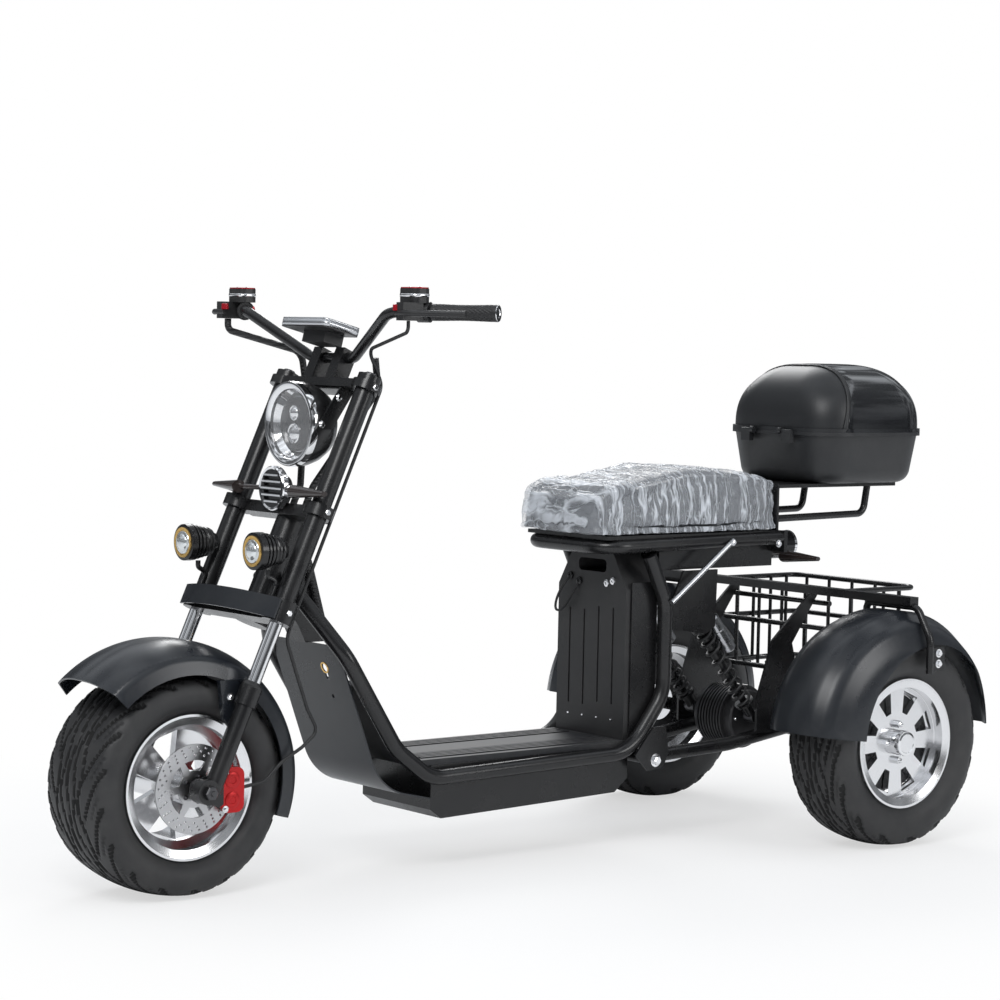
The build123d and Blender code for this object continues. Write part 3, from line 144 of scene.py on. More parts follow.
def piece_from(name, mesh, look=None, smooth=None):
    """Object with a mesh, its faces smooth or flat and in one finish, where these are given."""
    if smooth is not None:
        for polygon in mesh.polygons:
            polygon.use_smooth = smooth
    if look:
        mesh.materials.clear()
        mesh.materials.append(look)
    piece = bpy.data.objects.new(name, mesh)
    bpy.context.collection.objects.link(piece)
    return piece


def mesh_piece(name, points, faces, smooth=True, look=None):
    """Makes a mesh object at the origin from points in metres."""
    mesh = bpy.data.meshes.new(name)
    mesh.from_pydata([tuple(p) for p in points], [], [tuple(f) for f in faces])
    mesh.update()
    return piece_from(name, mesh, look, smooth)


FLOOR_HALF = 14
floor = mesh_piece("floor", [(-FLOOR_HALF, -FLOOR_HALF, 0), (FLOOR_HALF, -FLOOR_HALF, 0),
                             (FLOOR_HALF, FLOOR_HALF, 0), (-FLOOR_HALF, FLOOR_HALF, 0)], [(0, 1, 2, 3)])
floor_look = bpy.data.materials.new("floor_pale")
floor_look.use_nodes = True
floor_tree = floor_look.node_tree
floor_shader = floor_tree.nodes["Principled BSDF"]
dial(floor_shader, Base_Color=(0.93, 0.93, 0.93, 1), Roughness=0.9, Specular_IOR_Level=0.1)
floor.data.materials.append(floor_look)

# The floor turns to plain white away from the trike, so no horizon shows.
floor_far = floor_tree.nodes.new("ShaderNodeVectorMath")
floor_far.operation = "LENGTH"
wire(floor_tree, floor_tree.nodes.new("ShaderNodeTexCoord").outputs["Object"], floor_far.inputs[0])
floor_fade = spread_to(floor_tree, floor_far.outputs["Value"], (0.8, 1.7), (0.6, 1.0), smooth=True)
floor_seen = floor_tree.nodes.new("ShaderNodeLightPath").outputs["Is Camera Ray"]
floor_white = floor_tree.nodes.new("ShaderNodeEmission")
dial(floor_white, Color=(1, 1, 1, 1))
shown_instead(floor_tree, calc(floor_tree, "MULTIPLY", floor_seen, floor_fade), floor_shader.outputs[0],
              floor_white.outputs[0], floor_tree.nodes["Material Output"].inputs[0])


# Finishes: every material is one shader with a grain, a slow colour change and a little dust.
# The grain group is built once, and each finish gives it its own sizes.
def new_tree(name, tree_kind, inputs, outputs):
    """Empty node tree with its (label, kind, value) inputs and (label, kind) outputs."""
    tree = bpy.data.node_groups.new(name, tree_kind)
    for label, kind, value in inputs:
        socket = tree.interface.new_socket(label, in_out="INPUT", socket_type="NodeSocket" + kind)
        if value is not None:
            socket.default_value = value
    for label, kind in outputs:
        tree.interface.new_socket(label, in_out="OUTPUT", socket_type="NodeSocket" + kind)
    return tree, tree.nodes.new("NodeGroupInput"), tree.nodes.new("NodeGroupOutput")


def grain_group():
    """Shader group: uneven colour, uneven roughness and a fine height for the bump."""
    group, given, result = new_tree(
        "surface_grain", "ShaderNodeTree",
        (("Vector", "Vector", None), ("Colour", "Color", None), ("Dust Colour", "Color", None),
         ("Dust", "Float", 0.1), ("Fine Scale", "Float", 900), ("Cloud Scale", "Float", 9),
         ("Roughness", "Float", 0.4), ("Unevenness", "Float", 0.1)),
        (("Colour", "Color"), ("Roughness", "Float"), ("Height", "Float")))
    fine = group.nodes.new("ShaderNodeTexNoise")
    dial(fine, Detail=3)
    cloud = group.nodes.new("ShaderNodeTexNoise")
    dial(cloud, Detail=6, Roughness=0.62)
    for texture, size in ((fine, "Fine Scale"), (cloud, "Cloud Scale")):
        wire(group, given.outputs["Vector"], texture.inputs["Vector"])
        wire(group, given.outputs[size], texture.inputs["Scale"])
    patch = spread_to(group, cloud.outputs["Fac"], (0.42, 0.78))
    dusty = group.nodes.new("ShaderNodeMix")
    dusty.data_type = "RGBA"
    wire(group, calc(group, "MULTIPLY", patch, given.outputs["Dust"]), dusty.inputs["Factor"])
    wire(group, given.outputs["Colour"], dusty.inputs["A"])
    wire(group, given.outputs["Dust Colour"], dusty.inputs["B"])
    wire(group, dusty.outputs["Result"], result.inputs["Colour"])
    swing = calc(group, "SUBTRACT", cloud.outputs["Fac"], 0.5)
    rough = calc(group, "MULTIPLY_ADD", swing, given.outputs["Unevenness"], given.outputs["Roughness"])
    wire(group, rough, result.inputs["Roughness"])
    wire(group, fine.outputs["Fac"], result.inputs["Height"])
    return group


GRAIN = grain_group()
DUST_TINT = (0.33, 0.32, 0.3, 1)


def finish(name, colour, roughness, metallic=0.0, dust=0.05, fine=900, bump=0.04, uneven=0.25, coat=0.0,
           cloud=9.0, bump_size=0.0004):
    """One material: the grain group feeding a Principled shader. Returns it and its tree's main nodes."""
    look = bpy.data.materials.new(name)
    look.use_nodes = True
    tree = look.node_tree
    shader = tree.nodes["Principled BSDF"]
    place = tree.nodes.new("ShaderNodeTexCoord")
    grain = tree.nodes.new("ShaderNodeGroup")
    grain.node_tree = GRAIN
    grain.name = "grain"
    wire(tree, place.outputs["Object"], grain.inputs["Vector"])
    dial(grain, Colour=(*colour, 1), Dust_Colour=DUST_TINT, Dust=dust, Fine_Scale=fine, Cloud_Scale=cloud,
         Roughness=roughness, Unevenness=uneven)
    relief = tree.nodes.new("ShaderNodeBump")
    relief.name = "relief"
    dial(relief, Strength=bump, Distance=bump_size)
    wire(tree, grain.outputs["Colour"], shader.inputs["Base Color"])
    wire(tree, grain.outputs["Roughness"], shader.inputs["Roughness"])
    wire(tree, grain.outputs["Height"], relief.inputs["Height"])
    wire(tree, relief.outputs["Normal"], shader.inputs["Normal"])
    dial(shader, Metallic=metallic, Coat_Weight=coat, Coat_Roughness=0.06)
    return look


def dress(node, look):
    """Gives a construction node its finish."""
    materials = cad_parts[node].data.materials
    materials.clear()
    materials.append(look)


powder_black = finish("powder_black", (0.009, 0.009, 0.0098), 0.27, dust=0.03, fine=700, bump=0.12)
satin_black = finish("satin_black", (0.016, 0.016, 0.017), 0.42, dust=0.05, fine=1100, bump=0.1)


# Tyres: wide road tyres on ten inch rims. Black rubber, moulded with wavy grooves round the
# crown and curved slashes to the shoulders. Turned from a bead to bead outline, grooves cut in,
# their floors painted darker as shade.
LIP_R, BEAD_R = 0.144, 0.1273
MEAN_TREAD_R = 0.21
GROOVE_DEEP = 0.0062
TYRE_STEPS = 660


def arc_through(start, middle, end, count):
    """Points along the circle through three points of an outline."""
    (ax, ay), (bx, by), (cx, cy) = start, middle, end
    d = 2 * (ax * (by - cy) + bx * (cy - ay) + cx * (ay - by))
    ux = ((ax**2 + ay**2) * (by - cy) + (bx**2 + by**2) * (cy - ay) + (cx**2 + cy**2) * (ay - by)) / d
    uy = ((ax**2 + ay**2) * (cx - bx) + (bx**2 + by**2) * (ax - cx) + (cx**2 + cy**2) * (bx - ax)) / d
    radius = math.hypot(ax - ux, ay - uy)
    first = math.atan2(ay - uy, ax - ux)
    span = (math.atan2(cy - uy, cx - ux) - first) % math.tau
    through = (math.atan2(by - uy, bx - ux) - first) % math.tau
    if through > span:
        span -= math.tau
    steps = [first + span * i / count for i in range(count + 1)]
    return [(ux + radius * math.cos(a), uy + radius * math.sin(a)) for a in steps]


def smooth_dip(distance, half_width, edge):
    """1 inside a groove, 0 outside it, with a short slope between."""
    return np.clip((half_width + edge - np.abs(distance)) / edge, 0, 1)


def tread_depth(across, angle, half, bands, waves, slashes, slash_skew, slash_wide, slash_from):
    """Share of the groove's depth at each point of the crown: 1 at a groove's floor."""
    depth = np.zeros(np.broadcast(across, angle).shape)
    for centre, swing, wide in bands:
        line = centre * half + swing * np.sin(angle * waves + centre * 9)
        depth = np.maximum(depth, smooth_dip(across - line, wide, 0.0012))
    reach = np.clip(np.abs(across) / half, 0.02, None)
    lead = angle * slashes / math.tau + slash_skew * reach**1.4 + np.where(across > 0, 0.5, 0)
    steep = np.hypot(slashes / (math.tau * MEAN_TREAD_R), slash_skew * 1.4 * reach**0.4 / half)
    slash = smooth_dip(((lead % 1.0) - 0.5) / steep, slash_wide, 0.001)
    slash *= np.clip((reach - slash_from) / 0.03, 0, 1) * np.clip((0.95 - reach) / 0.03, 0, 1)
    fine = smooth_dip((((lead + 0.5) % 1.0) - 0.5) / steep, slash_wide * 0.45, 0.0008)
    fine *= np.clip((reach - slash_from - 0.22) / 0.03, 0, 1) * np.clip((0.9 - reach) / 0.03, 0, 1)
    return np.maximum(depth, np.maximum(slash, fine * 0.7))


def ring_faces(rows, columns, closed=False):
    """Four-sided faces between rings of points; a closed set also joins its last ring to its first."""
    faces = []
    for i in range(rows if closed else rows - 1):
        a, b = i * columns, ((i + 1) % rows) * columns
        for j in range(columns):
            k = (j + 1) % columns
            faces.append((a + j, a + k, b + k, b + j))
    return faces


def tyre_piece(name, body, node, centre, half, tread_r, rim_half, look, **tread):
    """Turns the outline about the axle, sinks the grooves into it and paints their floors darker as shade."""
    bead = rim_half - 0.0063
    wall_r = (0.142 + tread_r) / 2 - 0.004
    shoulder = (half * 0.86, tread_r - 0.009)
    side = arc_through((bead, LIP_R), (half, wall_r), shoulder, 16)
    crown = arc_through(shoulder, (0, tread_r), (-shoulder[0], shoulder[1]), 44)
    outline = [(bead, BEAD_R), *side, *crown[1:-1], *[(-x, r) for x, r in reversed(side)], (-bead, BEAD_R)]
    across = np.array([p[0] for p in outline])
    radius = np.array([p[1] for p in outline])
    angle = np.linspace(0, math.tau, TYRE_STEPS, endpoint=False)[:, None]
    crown_like = np.clip((radius - (tread_r - 0.026)) / 0.008, 0, 1)
    depth = tread_depth(across[None, :], angle, half, **tread) * crown_like[None, :]
    ridge = 0.0008 * (np.abs((radius - 0.168) % 0.011 - 0.0055) < 0.0014) * (radius < tread_r - 0.03)
    ridge[[0, -1]] = 0
    r = radius[None, :] - GROOVE_DEEP * depth + ridge[None, :]
    x = centre[0] + across[None, :] + 0 * r
    y = centre[1] + r * np.cos(angle)
    z = centre[2] + r * np.sin(angle)
    points = np.stack([x, y, z], axis=2).reshape(-1, 3)
    piece = mesh_piece(name, points, ring_faces(TYRE_STEPS, len(outline), closed=True), look=look)
    # Faces on a groove's floor take a darker rubber: painted shade at the bottom of the grooves.
    piece.data.materials.append(groove_painted_shade)
    sunk = (depth + np.roll(depth, -1, 0) + np.roll(depth, -1, 1) + np.roll(depth, (-1, -1), (0, 1))) / 4
    piece.data.polygons.foreach_set("material_index", (sunk > 0.4).astype(int).reshape(-1))
    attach(piece, body)
    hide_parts(node)
    return piece


tyre_rubber = finish("tyre_rubber", (0.022, 0.022, 0.023), 0.55, dust=0.06, fine=520, bump=0.35, cloud=14)
# The same rubber painted darker, standing in for the shade at the bottom of the grooves.
groove_painted_shade = finish("groove_painted_shade", (0.0035, 0.0035, 0.0037), 0.8, dust=0.02, fine=520, bump=0.1)
FRONT_AXLE = (0, -0.879, 0.217)
REAR_AXLES = {"left": (0.383, 0.728, 0.229), "right": (-0.383, 0.728, 0.229)}
tyre_piece("front_tyre_rubber", "front_wheel", "front_tyre", FRONT_AXLE, half=0.106, tread_r=0.217,
           rim_half=0.090, look=tyre_rubber,
           bands=((0.0, 0.0035, 0.0026), (0.19, 0.0045, 0.0022), (-0.19, 0.0045, 0.0022),
                  (0.38, 0.0055, 0.0026), (-0.38, 0.0055, 0.0026)),
           waves=10, slashes=17, slash_skew=2.4, slash_wide=0.0023, slash_from=0.46)
for side, centre in REAR_AXLES.items():
    tyre_piece(f"rear_tyre_rubber_{side}", f"rear_wheel_{side}", f"rear_tyre_{side}", centre, half=0.080,
               tread_r=0.229, rim_half=0.069, look=tyre_rubber,
               bands=((0.0, 0.001, 0.0024), (0.2, 0.0035, 0.0024), (-0.2, 0.0035, 0.0024),
                      (0.41, 0.005, 0.002), (-0.41, 0.005, 0.002)),
               waves=12, slashes=15, slash_skew=2.9, slash_wide=0.0022, slash_from=0.5)


# Rims: cast aluminium, machined bright on the faces and lips. The nuts and caps are
# separate bright pieces: a ring of nuts comes from one small node tree, a circle of instances.
bright_alloy = finish("bright_alloy", (0.78, 0.78, 0.79), 0.2, metallic=1, dust=0.03, fine=260, bump=0.05,
                      uneven=0.2)
chrome = finish("chrome", (0.82, 0.82, 0.83), 0.07, metallic=1, dust=0.01, fine=200, bump=0.01, uneven=0.05)
dark_steel = finish("dark_steel", (0.09, 0.09, 0.095), 0.38, metallic=1, dust=0.05, fine=600, bump=0.08)
for node in ("front_rim", "rear_rim_left", "rear_rim_right"):
    dress(node, bright_alloy)


def copies_on(tree, points, shape, look, result):
    """Puts a real copy of a shape on every point, in one finish, as the tree's result."""
    spread = tree.nodes.new("GeometryNodeInstanceOnPoints")
    wire(tree, points, spread.inputs["Points"])
    wire(tree, shape, spread.inputs["Instance"])
    real = tree.nodes.new("GeometryNodeRealizeInstances")
    wire(tree, spread.outputs["Instances"], real.inputs["Geometry"])
    coat = tree.nodes.new("GeometryNodeSetMaterial")
    wire(tree, real.outputs["Geometry"], coat.inputs["Geometry"])
    wire(tree, look, coat.inputs["Material"])
    wire(tree, coat.outputs["Geometry"], result.inputs["Geometry"])


def nut_ring_tree():
    """Geometry Nodes tree: hexagon nuts with a domed top, set round a circle facing +Z."""
    tree, given, result = new_tree(
        "nut_ring", "GeometryNodeTree",
        (("Geometry", "Geometry", None), ("Count", "Int", 4), ("Ring Radius", "Float", 0.03),
         ("Nut Radius", "Float", 0.009), ("Nut Height", "Float", 0.01), ("Sides", "Int", 6),
         ("Finish", "Material", None)), (("Geometry", "Geometry"),))
    nodes = tree.nodes
    circle = nodes.new("GeometryNodeMeshCircle")
    wire(tree, given.outputs["Count"], circle.inputs["Vertices"])
    wire(tree, given.outputs["Ring Radius"], circle.inputs["Radius"])
    nut = nodes.new("GeometryNodeMeshCylinder")
    wire(tree, given.outputs["Sides"], nut.inputs["Vertices"])
    wire(tree, given.outputs["Nut Radius"], nut.inputs["Radius"])
    wire(tree, given.outputs["Nut Height"], nut.inputs["Depth"])
    ball = nodes.new("GeometryNodeMeshUVSphere")
    dial(ball, Segments=16, Rings=8)
    wire(tree, calc(tree, "MULTIPLY", given.outputs["Nut Radius"], 0.72), ball.inputs["Radius"])
    lift = nodes.new("ShaderNodeCombineXYZ")
    wire(tree, calc(tree, "MULTIPLY", given.outputs["Nut Height"], 0.42), lift.inputs["Z"])
    raised = nodes.new("GeometryNodeTransform")
    wire(tree, ball.outputs["Mesh"], raised.inputs["Geometry"])
    wire(tree, lift.outputs[0], raised.inputs["Translation"])
    both = nodes.new("GeometryNodeJoinGeometry")
    wire(tree, nut.outputs["Mesh"], both.inputs["Geometry"])
    wire(tree, raised.outputs["Geometry"], both.inputs["Geometry"])
    copies_on(tree, circle.outputs["Mesh"], both.outputs["Geometry"], given.outputs["Finish"], result)
    return tree


def as_shown(thing):
    """Mesh of an object as its curve or its modifiers make it."""
    bpy.context.view_layer.update()
    return bpy.data.meshes.new_from_object(thing.evaluated_get(bpy.context.evaluated_depsgraph_get()))


def made_by(tree, name, turn_matrix, **sizes):
    """Runs a node tree with the sizes given, and returns its result as a plain mesh piece."""
    holder = mesh_piece(name + "_seed", [(0, 0, 0)], [])
    modifier = holder.modifiers.new("make", "NODES")
    modifier.node_group = tree
    inputs = [item for item in tree.interface.items_tree if item.in_out == "INPUT"]
    sockets = {item.name: item.identifier for item in inputs}
    for label, value in sizes.items():
        modifier[sockets[label.replace("_", " ")]] = value
    made = as_shown(holder)
    bpy.data.objects.remove(holder)
    made.transform(turn_matrix)
    return piece_from(name, made)


def facing(place, direction):
    """Matrix that puts a piece made round +Z at a place, pointing along a direction."""
    return Matrix.Translation(place) @ Vector(direction).to_track_quat("Z", "Y").to_matrix().to_4x4()


NUTS = nut_ring_tree()


def mend(mesh, merge=0.0, outward=True):
    """Joins points closer than a distance, and turns the faces outward."""
    shape = bmesh.new()
    shape.from_mesh(mesh)
    if merge:
        bmesh.ops.remove_doubles(shape, verts=shape.verts, dist=merge)
    if outward:
        bmesh.ops.recalc_face_normals(shape, faces=shape.faces)
    shape.to_mesh(mesh)
    shape.free()


def turned(name, outline, place, direction, look, sides=72, smooth=True):
    """Turns an outline of (along, radius) points about a line; ends on the line are closed."""
    spin = facing(place, direction)
    points, rows = [], []
    for along, radius in outline:
        if radius < 1e-6:
            rows.append([len(points)])
            points.append((0, 0, along))
            continue
        rows.append(list(range(len(points), len(points) + sides)))
        for i in range(sides):
            a = math.tau * i / sides
            points.append((radius * math.cos(a), radius * math.sin(a), along))
    faces = []
    for low, high in zip(rows, rows[1:]):
        for i in range(sides):
            j = (i + 1) % sides
            if len(low) == 1 and len(high) == 1:
                continue
            if len(low) == 1:
                faces.append((low[0], high[j], high[i]))
            elif len(high) == 1:
                faces.append((low[i], low[j], high[0]))
            else:
                faces.append((low[i], low[j], high[j], high[i]))
    piece = mesh_piece(name, [spin @ Vector(p) for p in points], faces, smooth, look)
    mend(piece.data)
    piece.data.set_sharp_from_angle(angle=math.radians(35))
    return piece


def seat_on(piece, body):
    """Says which body a piece rides on."""
    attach(piece, body)
    return piece


for side, (x, y, z) in REAR_AXLES.items():
    out = 1 if side == "left" else -1
    face_x = x + out * 0.0405
    back = turned(f"rear_rim_back_{side}", [(0.0195, 0.0455), (0.0195, 0.107), (0.022, 0.107),
                                            (0.022, 0.0455), (0.0195, 0.0455)],
                  (x, y, z), (out, 0, 0), powder_black)
    seat_on(back, f"rear_wheel_{side}")
    nuts = made_by(NUTS, f"rear_nuts_{side}", facing((face_x + out * 0.004, y, z), (out, 0, 0)),
                   Count=4, Ring_Radius=0.0395, Nut_Radius=0.0085, Nut_Height=0.018, Finish=chrome)
    seat_on(nuts, f"rear_wheel_{side}")
    cap = turned(f"rear_cap_{side}", [(0, 0.0275), (0.018, 0.0275), (0.0215, 0.0255), (0.0225, 0.021),
                                      (0.0205, 0.019), (0.0205, 0)],
                 (x + out * 0.0505, y, z), (out, 0, 0), chrome)
    seat_on(cap, f"rear_wheel_{side}")


# Brake disc: drilled steel plate on the hub's left end, cut from one flat outline, with a
# carrier held by five screws. The red two-piston caliper sits on a short arm from the fork leg.
DISC_X = 0.103
DISC_R, DISC_BORE_R, DISC_THICK = 0.0873, 0.0102, 0.0038


def curve_mesh(name, curve):
    """Mesh that a curve's own width and depth give."""
    holder = piece_from(name + "_curve", curve)
    mesh = as_shown(holder)
    bpy.data.objects.remove(holder)
    return mesh


def flat_cut(name, loops, thick, place_matrix, look):
    """Plate cut from closed loops: the first is the outline, the others are its holes."""
    curve = bpy.data.curves.new(name, "CURVE")
    curve.dimensions = "2D"
    curve.fill_mode = "BOTH"
    curve.extrude = thick / 2
    for loop in loops:
        spline = curve.splines.new("POLY")
        spline.points.add(len(loop) - 1)
        for point, (px, py) in zip(spline.points, loop):
            point.co = (px, py, 0, 1)
        spline.use_cyclic_u = True
    mesh = curve_mesh(name, curve)
    mesh.transform(place_matrix)
    mend(mesh, merge=1e-6)
    return piece_from(name, mesh, look)


def ring_loop(radius, count, at=(0, 0), turn_by=0.0):
    """Circle as a closed loop of points."""
    return [(at[0] + radius * math.cos(turn_by + math.tau * i / count),
             at[1] + radius * math.sin(turn_by + math.tau * i / count)) for i in range(count)]


ground_steel = finish("ground_steel", (0.5, 0.5, 0.51), 0.3, metallic=1, dust=0.05, fine=420, bump=0.1)
holes = []
for row, (radius, count) in enumerate(((0.066, 20), (0.0735, 24), (0.081, 28))):
    for i in range(count):
        a = math.tau * (i + 0.33 * row) / count
        holes.append(ring_loop(0.0025, 10, (radius * math.cos(a), radius * math.sin(a))))
for i in range(6):
    mid = math.tau * i / 6
    inner = [(0.036 * math.cos(mid + t), 0.036 * math.sin(mid + t)) for t in np.linspace(-0.3, 0.3, 7)]
    outer = [(0.056 * math.cos(mid + t), 0.056 * math.sin(mid + t)) for t in np.linspace(0.42, -0.42, 9)]
    holes.append(inner + outer)
disc_at = Matrix.Translation((DISC_X + 0.002, *FRONT_AXLE[1:])) @ Matrix.Rotation(math.pi / 2, 4, "Y")
disc = flat_cut("brake_disc_plate", [ring_loop(DISC_R, 120), ring_loop(DISC_BORE_R, 32)] + holes,
                DISC_THICK, disc_at, ground_steel)
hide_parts("brake_disc")
seat_on(disc, "front_wheel")
disc_screws = made_by(NUTS, "disc_screws", facing((DISC_X + 0.0045, *FRONT_AXLE[1:]), (1, 0, 0)),
                      Count=5, Ring_Radius=0.0255, Nut_Radius=0.0048, Nut_Height=0.004, Finish=dark_steel)
seat_on(disc_screws, "front_wheel")
hub_screws = made_by(NUTS, "hub_screws", facing((0.0425, *FRONT_AXLE[1:]), (1, 0, 0)),
                     Count=5, Ring_Radius=0.052, Nut_Radius=0.0062, Nut_Height=0.007, Finish=chrome)
seat_on(hub_screws, "front_wheel")
SIDES = (("left", 1), ("right", -1))
for n, s in SIDES:
    nut = turned(f"axle_nut_{n}", [(-0.002, 0.008), (-0.002, 0.0145), (0.008, 0.0145), (0.0105, 0.012),
                                   (0.0105, 0.006), (0.0135, 0.0045), (0.0135, 0)],
                 (s * 0.162, *FRONT_AXLE[1:]), (s, 0, 0), dark_steel, sides=6, smooth=False)
    seat_on(nut, "steering")


def rounded_loop(width, height, radius, steps=6, at=(0, 0)):
    """Rounded rectangle as a closed loop of points."""
    loop = []
    for k, (cx, cy) in enumerate(((1, 1), (-1, 1), (-1, -1), (1, -1))):
        for i in range(steps + 1):
            a = math.pi / 2 * (k + i / steps)
            loop.append((at[0] + cx * (width / 2 - radius) + radius * math.cos(a),
                         at[1] + cy * (height / 2 - radius) + radius * math.sin(a)))
    return loop


def side_on(x, y, z):
    """Matrix that stands a flat cut across the X axis, its own X to the back and its Y up."""
    return Matrix(((0, 0, 1, x), (1, 0, 0, y), (0, 1, 0, z), (0, 0, 0, 1)))


red_anodised = finish("red_anodised", (0.5, 0.012, 0.014), 0.3, metallic=0.55, dust=0.03, fine=500, bump=0.05)
RED_FROM = FRONT_AXLE[1] + 0.078
RED_HIGH = 0.211
arm = [(-0.018, 0.014), (0, 0.022), (0.046, 0.030), (0.056, 0.022), (0.056, -0.032), (0.046, -0.038),
       (0.006, -0.021), (-0.016, -0.016)]
arm_holes = [ring_loop(0.0105, 32), ring_loop(0.008, 24, (0.036, -0.004))]
caliper_arm = flat_cut("caliper_arm", [arm] + arm_holes, 0.0075, side_on(0.1192, *FRONT_AXLE[1:]),
                       powder_black)
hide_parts("caliper_bracket")
seat_on(caliper_arm, "steering")
slab_edge = rounded_loop(0.050, 0.088, 0.016)
for part_name, at_x, thick in (("caliper_outer", 0.1175, 0.0105), ("caliper_inner", 0.0952, 0.0075)):
    slab = flat_cut(part_name, [slab_edge], thick, side_on(at_x, RED_FROM, RED_HIGH), red_anodised)
    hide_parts("caliper")
    seat_on(slab, "steering")
bridge = flat_cut("caliper_bridge", [rounded_loop(0.010, 0.060, 0.004)], 0.028,
                  side_on(0.105, RED_FROM + 0.0205, RED_HIGH), red_anodised)
seat_on(bridge, "steering")
for k, rise in enumerate((-0.0195, 0.0195)):
    boss = turned(f"caliper_piston_{k}", [(-0.001, 0.0165), (0.0018, 0.0162), (0.0028, 0.0145),
                                          (0.0028, 0.0075), (0.0014, 0.0065), (0.0014, 0)],
                  (0.1224, RED_FROM - 0.002, RED_HIGH + rise), (1, 0, 0), red_anodised, sides=40)
    seat_on(boss, "steering")
dress("front_axle", ground_steel)
dress("stem", ground_steel)
dress("stanchions", chrome)
for node in ("sliders", "upper_tubes", "lower_clamp", "mid_clamp", "top_clamp", "lamp_bracket", "fog_arms",
             "clamp_cover", "handlebar"):
    dress(node, powder_black)

# Fork caps and the small bolts that pinch the clamps round the tubes: bright hexagons.
RAKE = math.radians(24.1)
FORK_UP = Vector((0, math.sin(RAKE), math.cos(RAKE)))
FORK_BACK = Vector((0, math.cos(RAKE), -math.sin(RAKE)))
FORK_ORIGIN = Vector((0, -0.6845, 0.5166))
LEG_X, LEG_BACK = 0.142, -0.04


def on_fork(x, back, up):
    """Point given in the fork's own directions, in metres."""
    return FORK_ORIGIN + Vector((x, 0, 0)) + FORK_BACK * back + FORK_UP * up


for n, s in SIDES:
    cap = turned(f"fork_cap_{n}", [(0, 0.013), (0.004, 0.013), (0.006, 0.011), (0.006, 0.006),
                                   (0.003, 0.0055), (0.003, 0)],
                 on_fork(s * LEG_X, LEG_BACK, 0.5242), FORK_UP, dark_steel, sides=48)
    seat_on(cap, "steering")
    for up, tag in ((0.501, "top"), (0.234, "mid"), (0.0225, "low")):
        bolt = turned(f"clamp_bolt_{tag}_{n}", [(-0.003, 0.006), (0.003, 0.006), (0.004, 0.0048), (0.004, 0)],
                      on_fork(s * 0.1725, LEG_BACK, up), (s, 0, 0), chrome, sides=6, smooth=False)
        seat_on(bolt, "steering")
    seal = turned(f"dust_seal_{n}", [(0, 0.0141), (0, 0.0205), (0.004, 0.021), (0.009, 0.018),
                                     (0.012, 0.0145), (0.012, 0.0141)],
                  on_fork(s * LEG_X, LEG_BACK, -0.1355), FORK_UP, satin_black)
    seat_on(seal, "steering")


# Headlight: a spun steel bowl painted black, with a broad polished ring, a clear glass and a
# bright reflector round a black plate, which holds two lenses, one over the other.
LAMP = Vector((0, -0.605, 0.913))
LAMP_FACING = (0, -1, 0)
bowl = turned("headlight_bowl", [(-0.0, 0.083), (-0.016, 0.0858), (-0.035, 0.0845), (-0.055, 0.078),
                                 (-0.075, 0.0655), (-0.089, 0.046), (-0.0965, 0.022), (-0.098, 0)],
              LAMP, LAMP_FACING, powder_black, sides=96)
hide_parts("headlight")
seat_on(bowl, "steering")
lamp_black = finish("lamp_black", (0.01, 0.01, 0.011), 0.2, dust=0.0, fine=300, bump=0.02, uneven=0.1)
for part_name, outline, look, sides, slot in (
        ("headlight_ring", [(-0.017, 0.0845), (-0.015, 0.0862), (-0.008, 0.0862), (-0.001, 0.0845),
                            (0.0, 0.0815), (-0.001, 0.0765), (-0.006, 0.0705), (-0.012, 0.0695),
                            (-0.012, 0.0845), (-0.017, 0.0845)], chrome, 96, "chrome"),
        ("headlight_reflector", [(-0.012, 0.0692), (-0.02, 0.062), (-0.026, 0.056), (-0.026, 0.0)],
         chrome, 72, "chrome"),
        ("headlight_bezel", [(-0.0255, 0.0545), (-0.0195, 0.0545), (-0.0175, 0.051), (-0.0175, 0.0)],
         lamp_black, 72, "lamp_plastic")):
    seat_on(turned(part_name, outline, LAMP, LAMP_FACING, look, sides=sides), "steering")
for tag, rise, size in (("high", 0.022, 0.0155), ("low", -0.019, 0.0205)):
    eye = turned(f"headlight_lens_{tag}", [(0, size), (0.003, size), (0.004, size * 0.9),
                                           (0.0028, size * 0.8), (0.006, size * 0.62),
                                           (0.0085, size * 0.3), (0.009, 0)],
                 LAMP + Vector((0, 0.0172, rise)), LAMP_FACING, chrome, sides=40)
    seat_on(eye, "steering")
glass_clear = bpy.data.materials.new("lamp_glass")
glass_clear.use_nodes = True
dial(glass_clear.node_tree.nodes["Principled BSDF"], Base_Color=(0.97, 0.98, 1, 1), Roughness=0.03,
     Alpha=0.16)
front_glass = turned("headlight_glass", [(-0.0085, 0.0705), (-0.0055, 0.06), (-0.0035, 0.04), (-0.0025, 0.02),
                                         (-0.002, 0.0)], LAMP, LAMP_FACING, glass_clear, sides=72)
seat_on(front_glass, "steering")
for n, s in SIDES:
    for tag, (y, z) in (("low", (-0.585, 0.915)), ("high", (-0.545, 0.968))):
        bolt = turned(f"lamp_bolt_{tag}_{n}", [(0, 0.0075), (0.001, 0.0075), (0.0045, 0.0045), (0.0055, 0)],
                      (s * 0.0903, y, z), (s, 0, 0), chrome, sides=24)
        seat_on(bolt, "steering")

